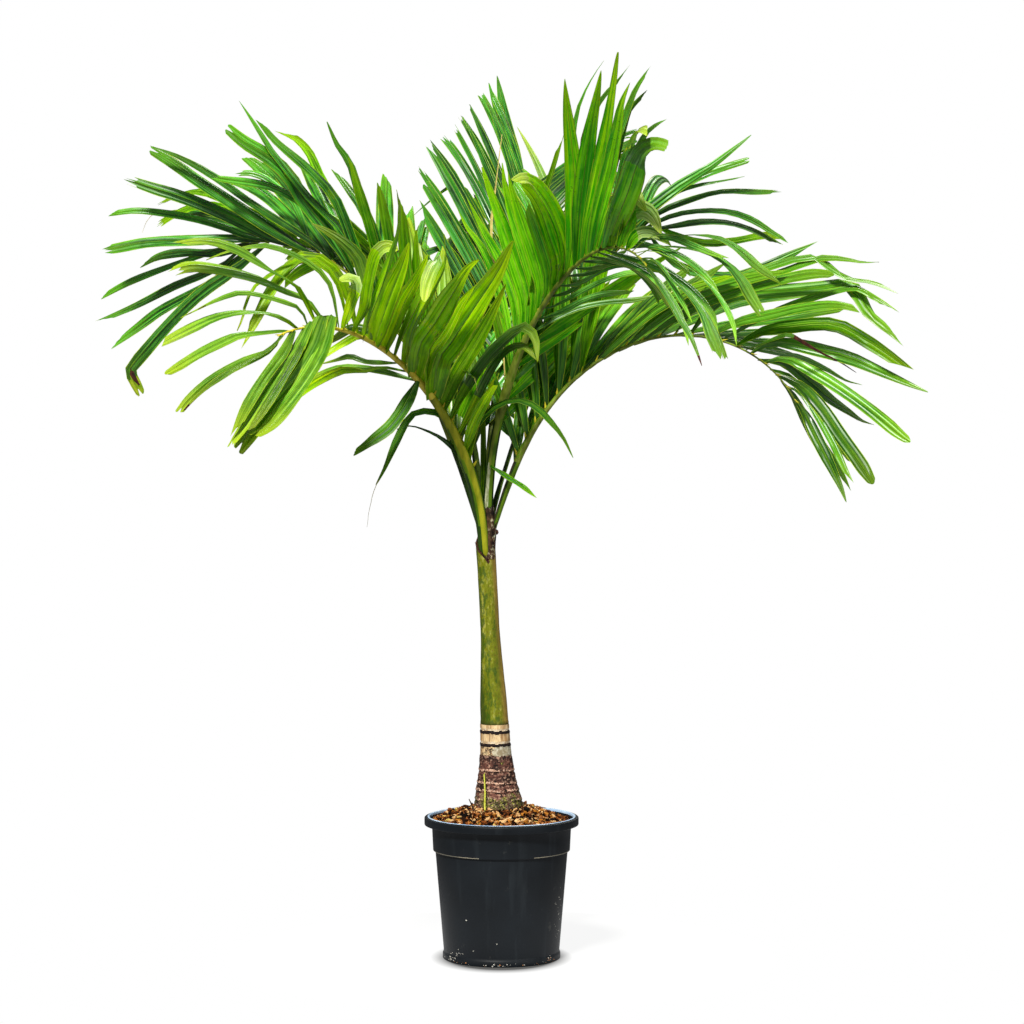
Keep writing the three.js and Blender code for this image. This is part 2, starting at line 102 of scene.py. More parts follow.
class Bag:
    def __init__(self):
        self.points, self.faces, self.inks, self.marks = [], [], [], []
        self.count = 0

    def add(self, points, faces, inks, marks=None):
        points = np.asarray(points, float).reshape(-1, 3)
        self.faces += [tuple(int(i) + self.count for i in face) for face in faces]
        self.inks += list(inks)
        self.points.append(points)
        self.marks.append(np.zeros((len(points), 2)) if marks is None else np.asarray(marks).reshape(-1, 2))
        self.count += len(points)

    # rings of equal length, one after the other; inks is one number or an array (rings - 1, columns)
    # flat closes the ends across two equal rows, not with one face
    def tube(self, rings, inks=0, flip=False, marks=None, capInks=None, flat=False):
        rings = np.asarray(rings, float)
        rows, columns = rings.shape[:2]
        i, j = np.meshgrid(np.arange(rows - 1), np.arange(columns), indexing="ij")
        here, beside = i * columns + j, i * columns + (j + 1) % columns
        faces = np.stack([here, beside, beside + columns, here + columns], -1).reshape(-1, 4)
        inks = np.broadcast_to(np.asarray(inks), (rows - 1, columns)).reshape(-1).tolist()
        ends = [tuple(range(columns))[::-1], tuple(range((rows - 1) * columns, rows * columns))]
        endInks = capInks or (inks[0], inks[-1])
        if flat:
            first = [(k + 1, k, columns - 1 - k, columns - 2 - k) for k in range(columns // 2 - 1)]
            last = [tuple((rows - 1) * columns + corner for corner in face[::-1]) for face in first]
            ends, endInks = first + last, inks[:len(first)] + inks[-columns:][:len(last)]
        faces = [tuple(face) for face in faces.tolist()] + ends
        if flip:
            faces = [face[::-1] for face in faces]
        self.add(rings, faces, inks + list(endInks), marks)

    # lines of (point, ink), one for each ring
    def shell(self, lines, capInks=None):
        rings = [[point for point, tone in line] for line in lines]
        self.tube(rings, [[tone for point, tone in line] for line in lines[:-1]], capInks=capInks)

    # the same for even rows, where spot(share, angle) gives each point and its ink
    def skin(self, rows, columns, spot, capInks=None):
        angles = turns(columns)
        self.shell([[spot(row / rows, angle) for angle in angles] for row in range(rows + 1)], capInks)

    def piece(self, name, finishes, node=None, slot=None, sharp=50):
        mesh = bpy.data.meshes.new(name)
        mesh.from_pydata((np.concatenate(self.points) * mm).tolist(), [], self.faces)
        for finish in finishes:
            mesh.materials.append(finish)
        mesh.polygons.foreach_set("material_index", self.inks)
        mesh.polygons.foreach_set("use_smooth", [True] * len(self.faces))
        corners = np.empty(len(mesh.loops), int)
        mesh.loops.foreach_get("vertex_index", corners)
        layer = mesh.uv_layers.new(name="blade")
        layer.data.foreach_set("uv", np.concatenate(self.marks)[corners].ravel())
        mesh.set_sharp_from_angle(angle=math.radians(sharp))
        mesh.update()
        made = bpy.data.objects.new(name, mesh)
        bpy.context.scene.collection.objects.link(made)
        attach(made, "root")
        if node:
            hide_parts(*([node] if isinstance(node, str) else node))
        return made


# Shader sockets take part in plain sums

class Wire:
    def __init__(self, finish, socket):
        self.finish, self.socket = finish, socket

    def sum(self, operation, first, second):
        return self.finish.node("ShaderNodeMath", {"operation": operation}, {0: first, 1: second})

    def __add__(self, other): return self.sum("ADD", self, other)
    def __radd__(self, other): return self.sum("ADD", other, self)
    def __sub__(self, other): return self.sum("SUBTRACT", self, other)
    def __rsub__(self, other): return self.sum("SUBTRACT", other, self)
    def __mul__(self, other): return self.sum("MULTIPLY", self, other)
    def __rmul__(self, other): return self.sum("MULTIPLY", other, self)
    def __pow__(self, other): return self.sum("POWER", self, other)


class Finish:
    def __init__(self, name, fixed):
        self.material = bpy.data.materials.new(name)
        self.material.use_nodes = True
        self.tree = self.material.node_tree
        self.shader = self.tree.nodes["Principled BSDF"]
        for socket, value in fixed.items():
            self.shader.inputs[socket].default_value = value

    def node(self, kind, settings=None, inputs=None, output=0):
        made = self.tree.nodes.new(kind)
        for key, value in (settings or {}).items():
            setattr(made, key, value)
        for key, value in (inputs or {}).items():
            if isinstance(value, Wire):
                self.tree.links.new(value.socket, made.inputs[key])
            else:
                made.inputs[key].default_value = value
        return Wire(self, made.outputs[output])

    def place(self, scale=(1, 1, 1)):
        here = self.node("ShaderNodeTexCoord", output=3)
        return self.node("ShaderNodeVectorMath", {"operation": "MULTIPLY"}, {0: here, 1: scale})

    def cloud(self, scale, detail=3.0, stretch=(1, 1, 1), rough=0.55):
        return self.node("ShaderNodeTexNoise", None, {
            "Vector": self.place(stretch), "Scale": scale, "Detail": detail, "Roughness": rough})

    def blend(self, share, first, second):
        return self.node("ShaderNodeMix", {"data_type": "RGBA"}, {0: share, 6: first, 7: second}, output=2)

    # coats of colour, one over the other, each with its share and its ink
    def coats(self, colour, *layers):
        for share, tint in layers:
            colour = self.blend(share, colour, ink(*tint))
        return colour

    # 0 below the first value, 1 above the second
    def step(self, wire, low, high):
        return self.node("ShaderNodeMapRange", None, {"Value": wire, "From Min": low, "From Max": high})

    def feed(self, wires):
        for socket, wire in wires.items():
            self.tree.links.new(wire.socket, self.shader.inputs[socket])
        return self.material

    def relief(self, height, strength, distance):
        return self.node("ShaderNodeBump", None, {
            "Height": height, "Strength": strength, "Distance": distance})


# Camera, light and floor

stage = {
    "camera": (0.023, -7.0, 1.29), "aim": (0.023, 0.0, 0.982), "lens": 112.4, "sensor": 36,
    "floorRadius": 0.6, "floorSides": 128, "floorInk": (0.08, 0.08, 0.08, 1), "floorGlow": 0.9,
    # a soft shadow round the pot is painted into the floor's glow: from where to where it fades, its reach
    # each way, curve and tone
    "paintedShadow": (0.121, 0.157), "paintedShadowReach": (1, 0.8, 1), "paintedShadowCurve": 0.75,
    "paintedShadowInk": (0.02, 0.02, 0.02, 1),
    "backdrop": (1, 1, 1, 1), "sky": (0.98, 0.99, 1.0, 1), "skyStrength": 0.2,
    # direction that it comes from, softness in degrees, strength, colour
    "suns": [
        ((-0.7, -2.0, 2.1), 9, 5.0, (1.0, 0.99, 0.95)),
        ((1.8, -1.6, 0.7), 30, 0.6, (0.99, 1.0, 0.98)),
        ((0.6, 2.2, 2.2), 18, 0.7, (1.0, 1.0, 0.9)),
    ],
}


def aimAt(thing, place, target):
    thing.location = place
    thing.rotation_euler = (Vector(target) - Vector(place)).to_track_quat("-Z", "Y").to_euler()
    bpy.context.scene.collection.objects.link(thing)


def makeStage():
    lens = bpy.data.cameras.new("camera")
    lens.lens, lens.sensor_width = stage["lens"], stage["sensor"]
    camera = bpy.data.objects.new("camera", lens)
    aimAt(camera, stage["camera"], stage["aim"])
    bpy.context.scene.camera = camera
    for number, (place, softness, strength, colour) in enumerate(stage["suns"]):
        lamp = bpy.data.lights.new("sun%d" % number, "SUN")
        lamp.angle, lamp.energy, lamp.color = math.radians(softness), strength, colour
        aimAt(bpy.data.objects.new("sun%d" % number, lamp), place, (0, 0, 0))
    # the backdrop is plain white, while the light of the sky is dimmer
    world = bpy.data.worlds.new("sky")
    world.use_nodes = True
    tree = world.node_tree
    sky, output = tree.nodes["Background"], tree.nodes["World Output"]
    sky.inputs["Color"].default_value = stage["sky"]
    sky.inputs["Strength"].default_value = stage["skyStrength"]
    backdrop = tree.nodes.new("ShaderNodeBackground")
    backdrop.inputs["Color"].default_value = stage["backdrop"]
    mix = tree.nodes.new("ShaderNodeMixShader")
    tree.links.new(tree.nodes.new("ShaderNodeLightPath").outputs["Is Camera Ray"], mix.inputs[0])
    tree.links.new(sky.outputs[0], mix.inputs[1])
    tree.links.new(backdrop.outputs[0], mix.inputs[2])
    tree.links.new(mix.outputs[0], output.inputs["Surface"])
    bpy.context.scene.world = world
    bpy.context.scene.view_settings.view_transform = "Standard"
    mesh = bpy.data.meshes.new("floor")
    reach = stage["floorRadius"]
    edge = [(reach * math.cos(a), reach * math.sin(a), 0) for a in turns(stage["floorSides"])]
    mesh.from_pydata(edge, [], [tuple(range(len(edge)))])
    floor = bpy.data.objects.new("floor", mesh)
    bpy.context.scene.collection.objects.link(floor)
    paint = Finish("floorPaint", {
        "Base Color": stage["floorInk"], "Roughness": 0.9, "Specular IOR Level": 0.0,
        "Emission Strength": stage["floorGlow"]})
    # painted shadow: the floor's glow is darkened round the pot's base
    middle = paint.place(stage["paintedShadowReach"])
    away = paint.node("ShaderNodeVectorMath", {"operation": "LENGTH"}, {0: middle}, output=1)
    lit = paint.step(away, *stage["paintedShadow"]) ** stage["paintedShadowCurve"]
    mesh.materials.append(paint.feed({
        "Emission Color": paint.blend(lit, stage["paintedShadowInk"], (1, 1, 1, 1))}))


makeStage()
print("camera, light and floor set")


# Finishes of the plant

# how the stripes of a blade lie: scales across and along; start, end and share of what fades in
leafSkin = {
    "bands": (6, 0.7, 1), "threads": (17, 1.1, 1), "depthScale": (6, 6, 6), "blotches": 20,
    "bandEdge": (0.42, 0.58), "paleVeinsAndSheen": (0.54, 0.67, 0.42), "darkVeinsAndShade": (0.475, 0.37, 0.7),
    "paintedRootShade": (0.3, 0.0, 0.8), "yellowTip": (0.7, 1.0, 0.5),
    "speckScale": 75, "speckEdge": (0.1, 0.17), "speckInk": (34, 60, 8),
    "veins": 34, "relief": (0.12, 0.0012),
}


def leafFinish(name, body, shade, gloss=0.27, shine=0.22, glow=0.22, streak=1.0, speck=0.0):
    finish = Finish(name, {
        "Specular IOR Level": shine, "Subsurface Weight": glow, "Subsurface Scale": 0.004,
        "Subsurface Radius": (0.5, 1.0, 0.06)})
    marks = finish.node("ShaderNodeUVMap", {"uv_map": "blade"})
    across = finish.node("ShaderNodeSeparateXYZ", None, {0: marks})
    along = finish.node("ShaderNodeSeparateXYZ", None, {0: marks}, output=1)

    def stripes(scale, detail):
        deep = finish.place(leafSkin["depthScale"])
        stretched = finish.node("ShaderNodeVectorMath", {"operation": "MULTIPLY"}, {0: marks, 1: scale})
        moved = finish.node("ShaderNodeVectorMath", {"operation": "ADD"}, {0: stretched, 1: deep})
        return finish.node("ShaderNodeTexNoise", None, {"Vector": moved, "Scale": 1.0, "Detail": detail})

    def fade(wire, key, factor=1.0):
        start, end, share = leafSkin[key]
        return finish.step(wire, start, end) * (share * factor)

    bands, threads = stripes(leafSkin["bands"], 1.0), stripes(leafSkin["threads"], 1.5)
    blotch = finish.cloud(leafSkin["blotches"], 3)
    patches = finish.step(blotch * 0.3 + bands * 0.7, *leafSkin["bandEdge"])
    colour = finish.coats(
        finish.blend(patches, ink(*shade), ink(*body)),
        # pale threads: partly paler veins, partly painted sheen
        (fade(threads, "paleVeinsAndSheen", streak), (0.8 * body[0] + 58, 0.8 * body[1] + 54, body[2] + 52)),
        # dark threads: partly darker veins, partly painted shade
        (fade(threads, "darkVeinsAndShade", streak), [0.45 * part for part in shade]),
        # painted shade darkens the blade towards its root
        (fade(along, "paintedRootShade", streak), [0.42 * part for part in shade]),
        (fade(along, "yellowTip"), (min(200, 1.25 * body[0] + 20), body[1] + 14, 12)))
    if speck:
        spots = finish.node("ShaderNodeTexVoronoi", {"feature": "F1"}, {
            "Vector": finish.place(), "Scale": leafSkin["speckScale"]})
        speckled = (1 - finish.step(spots, *leafSkin["speckEdge"])) * speck
        colour = finish.coats(colour, (speckled, leafSkin["speckInk"]))
    veins = finish.node("ShaderNodeMath", {"operation": "SINE"}, {0: across * leafSkin["veins"]})
    return finish.feed({
        "Base Color": colour, "Roughness": finish.step(blotch, 0.2, 0.9) * 0.16 + gloss,
        "Normal": finish.relief(veins * 0.3 + threads * 0.9, *leafSkin["relief"])})


def plainFinish(name, body, shade, gloss=0.5, scale=60, stretch=(1, 1, 1), depth=0.0006, strength=0.3,
                shine=0.3):
    finish = Finish(name, {"Specular IOR Level": shine})
    patch = finish.cloud(scale, 4, stretch)
    tone = finish.step(patch, 0.35, 0.65)
    return finish.feed({
        "Base Color": finish.blend(tone, ink(*shade), ink(*body)),
        "Roughness": tone * 0.15 + gloss, "Normal": finish.relief(patch, strength, depth)})


# The sun side of a blade is a deeper, bluer green than its underside, which is painted brighter and
# yellower: partly its own colour, partly painted light that shines through it. For each: its body, its shade
# and how striped it is. There are three tints of each, and one is dealt to a leaflet.
greens = {
    "freshUnder": ((168, 230, 4), (108, 166, 1), 0.6), "brightUnder": ((146, 250, 8), (54, 164, 1), 0.6),
    "mildUnder": ((112, 182, 6), (46, 104, 2), 1), "deepTop": ((78, 172, 40), (12, 64, 8), 1),
    "tealTop": ((48, 132, 26), (5, 46, 3), 1), "softTop": ((92, 162, 16), (34, 98, 3), 1),
    "paleTop": ((124, 174, 44), (64, 118, 14), 0.6), "glossTop": ((112, 190, 62), (38, 116, 16), 1),
}
tints = (1, 1.12, 0.8)
brightest = 240
leafFinishes = {}
for family, (body, shade, streak) in greens.items():
    under = family.endswith("Under")
    for number, strength in enumerate(tints):
        tones = [[min(brightest, strength * part) for part in tone] for tone in (body, shade)]
        leafFinishes[family, number] = leafFinish(
            "%s%d" % (family, number), *tones, shine=0.14 if under else 0.5, glow=0.42 if under else 0.2,
            streak=streak, speck=0.5 if family == "brightUnder" else 0.0)

# what a leaflet shows beside its greens
leafTrims = {
    "midrib": plainFinish("leafMidrib", (134, 172, 40), (84, 130, 16), 0.4),
    "margin": plainFinish("leafMargin", (176, 194, 40), (112, 152, 12), 0.45),
    "dried": plainFinish("driedLeaf", (96, 48, 32), (44, 20, 14), 0.8, 120, depth=0.001, strength=0.6),
    # a pale green painted sheen, dealt to the turned ends of some leaflets
    "pale": leafFinish("leafPaintedPaleSheen", (176, 208, 112), (112, 164, 56), 0.22),
    "straw": plainFinish("strawThread", (222, 206, 128), (186, 170, 92), 0.6),
    "dark": leafFinish("darkLeaf", (76, 138, 12), (42, 98, 4), 0.4, streak=0.6),
    "black": leafFinish("blackLeaf", (28, 54, 6), (14, 32, 3)),
}
# the inks of a leaflet by their place among its finishes
inkOf = {name: place for place, name in enumerate(
    ["top0", "top1", "top2", "under0", "under1", "under2", *leafTrims])}

ribFinishes = {
    "yellow": plainFinish("ribYellow", (166, 164, 24), (116, 126, 8), 0.42, 70, (1, 1, 0.2)),
    "olive": plainFinish("ribOlive", (138, 154, 54), (88, 102, 20), 0.45, 50, (1, 1, 0.3)),
    "green": plainFinish("ribGreen", (116, 152, 12), (68, 102, 4), 0.4, 50, (1, 1, 0.3)),
    "deep": plainFinish("ribDeep", (48, 80, 5), (24, 50, 2), 0.45, 60, (1, 1, 0.3)),
    "brown": plainFinish("ribBrown", (84, 48, 34), (38, 22, 18), 0.6, 90),
    "scurf": plainFinish("whiteScurf", (206, 206, 176), (128, 138, 84), 0.9, 190, (1, 1, 0.35), 0.001, 0.8),
    "joint": plainFinish("leafJoint", (214, 202, 52), (156, 148, 18), 0.5, 90),
    # partly the rib's own yellow, partly painted light: brightened to make up for the shade on its underside
    "goldAndPaintedLight": plainFinish("ribGoldAndPaintedLight", (250, 232, 84), (206, 184, 40), 0.42, 70, (1, 1, 0.3)),
}
ribInkOf = {name: place for place, name in enumerate(ribFinishes)}
print("leaf finishes mixed")


# Stem, by the same rule as the solids

stem = {
    "soilTop": 325, "topOfTrunk": 516, "topOfCrownshaft": 886, "topOfSheath": 1000,
    "footCentre": -8, "lean": 26, "leanHeight": 575, "leanPower": 1.15,
    "trunkRadius": 29.5, "flare": 26, "flareReach": 0.33, "flarePower": 2.1,
    "crownshaftRadius": 20.8, "crownshaftSwell": 9.6, "swellHeight": 224, "sheathTopRadius": 12.5,
    "columns": 120, "trunkStep": 1.5,
    # the smooth scar has dark rings, each with a cream band over it; rough bark with pale bands is below it
    "darkRings": [499, 471], "ringWidth": 3.2, "ringHalf": 3.6, "creamBand": 8, "barkTop": 448,
    "paleBands": [416, 389, 373, 352], "paleWidth": 2.6, "footTop": 335, "footFade": 50,
    "leanInLook": 0.0743,
}


def stemCentre(height):
    share = max(0, height - stem["soilTop"]) / stem["leanHeight"]
    return stem["footCentre"] - stem["lean"] * share ** stem["leanPower"]


def trunkRadius(height):
    share = (height - stem["soilTop"]) / (stem["topOfTrunk"] - stem["soilTop"])
    fall = (max(share, 0) / stem["flareReach"]) ** stem["flarePower"]
    return stem["trunkRadius"] + stem["flare"] / (1 + fall)


def crownshaftRadius(height):
    share = (height - stem["topOfTrunk"]) / stem["swellHeight"]
    return stem["crownshaftRadius"] + stem["crownshaftSwell"] * (1 - smooth(share))


def sheathRadius(height):
    share = (height - stem["topOfCrownshaft"]) / (stem["topOfSheath"] - stem["topOfCrownshaft"])
    return lerp(stem["crownshaftRadius"] - 1, stem["sheathTopRadius"], clamp(share))


def ringPoint(height, angle, radius):
    return (stemCentre(height) + radius * math.cos(angle), radius * math.sin(angle), height)


# three tones in patches, from the grain of old bark
def barkFinish(name, body, shade, light, scale, stretch, strength):
    finish = Finish(name, {"Specular IOR Level": 0.25})
    broad, narrow = finish.cloud(scale * 0.45, 4, stretch), finish.cloud(scale * 1.6, 3, stretch)
    colour = finish.coats(
        finish.blend(finish.step(broad, 0.4, 0.6), ink(*shade), ink(*body)),
        (finish.step(narrow, 0.52, 0.7) * 0.8, light),
        (finish.step(narrow, 0.47, 0.34) * 0.6, shade))
    return finish.feed({"Base Color": colour, "Roughness": broad * 0.2 + 0.72,
                        "Normal": finish.relief(broad + narrow * 0.6, strength, 0.002)})


# body, shade and light of each part of the bark, then scale, stretch and strength of its grain
barks = {
    "scarTan": ((224, 196, 150), (170, 132, 86), (92, 52, 26), 170, (1, 1, 0.1), 0.5),
    "ringDark": ((26, 12, 8), (10, 5, 4), (44, 24, 18), 150, (1, 1, 1), 0.2),
    "barkPurple": ((104, 64, 52), (36, 18, 14), (190, 150, 126), 78, (1, 1, 1.7), 0.8),
    "barkCrack": ((30, 16, 12), (12, 6, 5), (70, 44, 36), 150, (1, 1, 1.5), 0.6),
    "barkPale": ((206, 166, 140), (132, 92, 74), (232, 206, 184), 160, (1, 1, 2), 0.5),
    "barkMoss": ((84, 78, 34), (34, 26, 18), (190, 188, 84), 190, (1, 1, 1), 0.9),
    "barkFoot": ((120, 94, 70), (46, 32, 22), (204, 188, 140), 170, (1, 1, 1.2), 0.9),
    "scarGrey": ((184, 176, 150), (140, 126, 98), (222, 216, 198), 150, (1, 1, 0.6), 0.5),
    "scarCream": ((226, 206, 172), (190, 160, 120), (236, 224, 204), 170, (1, 1, 0.3), 0.4),
}


# The smooth scar below the crownshaft, crossed by two dark rings: how far it stands out, and its part
def scarAt(level, height, c, s):
    relief, part = 0.35 * grain(c * 3, s * 3, height / 9), "scarTan"
    for place in stem["darkRings"]:
        relief += 1.0 * bump(level, place, stem["ringWidth"]) - 1.1 * bump(level, place + 5, 2)
        if abs(level - place) < stem["ringHalf"]:
            part = "ringDark"
        elif place < level < place + stem["creamBand"]:
            part = "scarCream"
    lowest = stem["darkRings"][1]
    if part == "scarTan" and level < lowest and grain(c * 5, s * 5, height / 8) > 0.02:
        part = "barkFoot"
    if level < lowest - 3 and c > -0.15 + 0.3 * grain(c, s, height / 10):
        part = "scarGrey"
    return relief, part


# The rough bark below it, with pale bands, moss and a lumpy foot
def roughAt(level, height, c, s):
    coarse = grain(c * 4, s * 4, height / 16, 4)
    fine = grain(c * 11, s * 11, height / 5, 3)
    relief = 1.0 - 1.6 * bump(stem["barkTop"] - level, 0, 2) + 0.9 * coarse + 0.8 * fine
    part = "barkPurple" if fine > -0.28 else "barkCrack"
    for place in stem["paleBands"]:
        near = bump(level + 2 * coarse, place, stem["paleWidth"])
        relief += 1.1 * near - 1.3 * bump(level + 2 * coarse, place - 5, 2)
        if near > 0.55 and fine > -0.2:
            part = "barkPale"
    foot = 1 - smooth((height - stem["footTop"]) / stem["footFade"])
    lumps = max(0, grain(c * 7 + 3, s * 7, height / 14, 2))
    relief += foot * (3 * lumps - 5 * max(0, -c))  # the flare is less on the left
    moss = grain(c * 3 + 9, s * 3, height / 26, 3) + 0.25 * c + 0.9 * foot
    if moss > 0.62 and fine < 0.1:
        part = "barkMoss"
    elif foot > 0.3 and coarse > 0.0:
        part = "barkFoot"
    return relief, part


def makeTrunk():
    bag = Bag()

    def bark(share, angle):
        height = lerp(stem["soilTop"], stem["topOfTrunk"], share)
        c, s = math.cos(angle), math.sin(angle)
        level = height + (2.2 * grain(c * 1.4, s * 1.4, 5) + 0.6 * grain(c * 6, s * 6, height / 30))
        relief, part = scarAt(level, height, c, s)
        if level < stem["barkTop"] + 2.5 * grain(c * 9, s * 9, 1, 2):
            roughness, part = roughAt(level, height, c, s)
            relief += roughness
        return ringPoint(height, angle, trunkRadius(height) + relief), list(barks).index(part)

    rows = int((stem["topOfTrunk"] - stem["soilTop"]) / stem["trunkStep"])
    bag.skin(rows, stem["columns"], bark, (2, 0))
    bag.piece("trunkBark", [barkFinish(name, *look) for name, look in barks.items()], "trunk", "trunk", 80)


def crownshaftFinish(name, body, shade, dark, pale, brown):
    finish = Finish(name, {"Specular IOR Level": 0.22})
    # the stem leans to the left, so a step of its height is added to the place across
    here = finish.node("ShaderNodeSeparateXYZ", None, {0: finish.place()})
    high = finish.node("ShaderNodeSeparateXYZ", None, {0: finish.place()}, output=2)
    side = here + high * stem["leanInLook"]
    tall = finish.cloud(34, 4, (1, 1, 0.12))
    broad = finish.cloud(95, 5, (1, 1, 0.35), 0.62)
    fine = finish.cloud(170, 5, (1, 1, 0.45), 0.7)
    grit = finish.cloud(330, 3, (1, 1, 0.6))
    # more dark mottles towards the left: painted shade on that side
    mottle = broad * 0.5 + fine * 0.5 + finish.step(side, 0.032, 0.012) * 0.07
    colour = finish.coats(
        finish.blend(finish.step(tall * 0.5 + fine * 0.5, 0.42, 0.58), ink(*shade), ink(*body)),
        (finish.step(tall * 0.4 + fine * 0.6, 0.53, 0.63) * 0.75, pale),
        (finish.step(mottle, 0.52, 0.58) * 0.85, dark),
        (finish.step(grit, 0.58, 0.68) * 0.6, brown),
        (finish.step(side + fine * 0.008, 0.044, 0.054) * 0.55, (178, 132, 70)),  # the tan right side
        (finish.step(side + fine * 0.006, 0.011, 0.006) * 0.7, (52, 66, 6)),  # painted shade along the left edge
        (finish.step(high + fine * 0.014, 0.534, 0.524) * 0.85, (48, 50, 6)))  # and foot
    return finish.feed({"Base Color": colour, "Roughness": fine * 0.3 + 0.38,
                        "Normal": finish.relief(tall + fine * 0.9, 0.35, 0.0016)})


# Where the lowest sheath ends: it opens in a V in front, and rises into its stalk on the left
sheathEdge = {
    "notchAngle": -78, "notch": 871, "left": 917, "right": 957, "back": 935,
    "leftReach": 95, "rightReach": 52, "rows": 110, "ragged": 2.2,
    # brown and papery parts of it: from and to which heading, and above what height
    "dried": (-62, 24, 884), "paper": (-50, 10, 926),
    # it bulges over the two front stalks: heading, then place, width, height of each and where it starts
    "bulgeHeading": -125, "bulges": [(0, 42, 4.2, 862), (88, 28, 7, 895)],
    # it is lined inside: how far in, how far below the edge, and of what
    "lining": [(2.2, 0, 2), (3.0, 8, 1), (3.4, 26, 1)], "liningFoot": 250,
}

# Two younger sheaths stand in it, each a little thinner and open on another side: foot, top, how much
# thinner and the opening's heading. A torn one clasps the two front stalks.
innerSheaths = {
    "each": [(850, 958, 0.4, 150), (905, 1004, 3.2, 20)], "rows": 36, "opening": (36, 44),
    "tornFoot": 880, "tornTop": 992, "tornRows": 30, "tornRadius": 15.2, "tornCentre": (-29.5, -5.5),
}


def fromHeading(angle, heading):
    return (math.degrees(angle) - heading + 180) % 360 - 180


def edgeHeight(angle):
    degrees = fromHeading(angle, sheathEdge["notchAngle"])
    top = sheathEdge["right"] if degrees > 0 else sheathEdge["left"]
    share = abs(degrees) / sheathEdge["rightReach" if degrees > 0 else "leftReach"]
    if share < 1:
        return lerp(sheathEdge["notch"], top, share ** 0.9)
    return lerp(top, sheathEdge["back"], smooth((share - 1) / 0.8))


# a point on the lowest sheath, or some way in from it
def sheathPoint(height, angle, drop):
    c, s = math.cos(angle), math.sin(angle)
    radius = crownshaftRadius(height) + 0.45 * grain(c * 2, s * 2, height / 60)
    radius += 0.3 * grain(c * 9, s * 9, height / 90, 2)
    radius += 0.9 * bump(height, stem["topOfTrunk"] + 3, 5)  # the lowest sheath ends in a lip
    turned = fromHeading(angle, sheathEdge["bulgeHeading"])
    for place, width, swell, start in sheathEdge["bulges"]:
        radius += swell * bump(turned, place, width) * smooth((height - start) / 40)
    return ringPoint(height, angle, radius - drop)


def makeSheath(finishes):
    bag, floor = Bag(), stem["topOfTrunk"] + 0.3
    angles = turns(stem["columns"])

    def spot(share, angle):
        c, s = math.cos(angle), math.sin(angle)
        top = edgeHeight(angle) + sheathEdge["ragged"] * grain(c * 9, s * 9, 2)
        height = lerp(floor, top, share)
        degrees = math.degrees(angle) if angle < math.pi else math.degrees(angle) - 360
        right, left, above = sheathEdge["dried"]
        dried = right < degrees < left and height > above + 9 * grain(c * 6, s * 6, 4)
        right, left, above = sheathEdge["paper"]
        paper = right < degrees < left and 1 < top - height < 12 and top > above
        return sheathPoint(height, angle, 0), 3 if paper else 2 if top - height < 5 or dried else 0

    rows = sheathEdge["rows"]
    lines = [[spot(row / rows, angle) for angle in angles] for row in range(rows + 1)]
    for drop, below, tone in sheathEdge["lining"]:
        lines.append([(sheathPoint(edgeHeight(angle) - below, angle, drop), tone) for angle in angles])
    lines.append([(sheathPoint(floor + sheathEdge["liningFoot"], angle, 6), 1) for angle in angles])
    bag.shell(lines, capInks=(2, 1))
    bag.piece("crownshaftSheath", finishes, "crownshaft", "crownshaft", 60)


def makeInnerSheaths(finishes):
    bag = Bag()
    width, depth = innerSheaths["opening"]
    for low, high, shrink, heading in innerSheaths["each"]:
        def spot(share, angle):
            c, s = math.cos(angle), math.sin(angle)
            opening = bump(fromHeading(angle, heading), 0, width)
            top = high - depth * opening + 2 * grain(c * 8, s * 8, high)
            height = lerp(low, top, share)
            radius = sheathRadius(height) - shrink + 0.6 * grain(c * 7, s * 7, height / 20)
            torn = s < 0.1 and c > -0.35 and height > 872
            return ringPoint(height, angle, radius), 1 if top - height < 3 else 2 if torn else 0

        bag.skin(innerSheaths["rows"], stem["columns"], spot, (0, 0))

    def tornSpot(share, angle):
        c, s = math.cos(angle), math.sin(angle)
        top = innerSheaths["tornTop"] + 7 * grain(c * 5, s * 5, 3) + 5 * c
        height = lerp(innerSheaths["tornFoot"], top, share)
        radius = innerSheaths["tornRadius"] + 1.0 * grain(c * 5, s * 5, height / 12)
        radius -= 2.2 * smooth((height - 930) / 60)
        x, y = innerSheaths["tornCentre"]
        return (x + radius * c, y + radius * s, height), 2

    bag.skin(innerSheaths["tornRows"], stem["columns"], tornSpot)
    bag.piece("innerSheaths", finishes, "inner_sheath", "crownshaft", 60)


# brown fibre along the edges of the V and up the right-hand side
fibres = {"count": 150, "headings": (-165, 12), "radii": [0.9, 0.7, 0.2], "knob": (938, -14)}


def makeSheathFibres(fibre):
    bag = Bag()
    for number in range(fibres["count"]):
        share, *draws = [chance(31, number, draw) for draw in range(6)]
        angle = math.radians(lerp(*fibres["headings"], share) + 4 * (draws[0] - 0.5))
        tuft = 2.5 + 5 * draws[1] + (5 if share > 0.8 else 0) * draws[2]
        start = np.array(sheathPoint(edgeHeight(angle) - 2, angle, 0.6))
        tip = start + np.array([8 * (draws[3] - 0.5), 2 * math.sin(angle) * draws[4], tuft])
        bar(bag, [start, (start + tip) / 2 + (0.5, 0, 0.5), tip], fibres["radii"], 4)
    height, heading = fibres["knob"]
    knob = np.array(sheathPoint(height, math.radians(heading), -1.5))
    bar(bag, [knob + (0, 0, -5), knob + (1.5, -1, -1), knob + (1, -1, 3), knob + (0, 0, 6)],
        [1.5, 3.2, 2.8, 0.6], 7)
    bag.piece("sheathFibres", [fibre], slot="crownshaft")


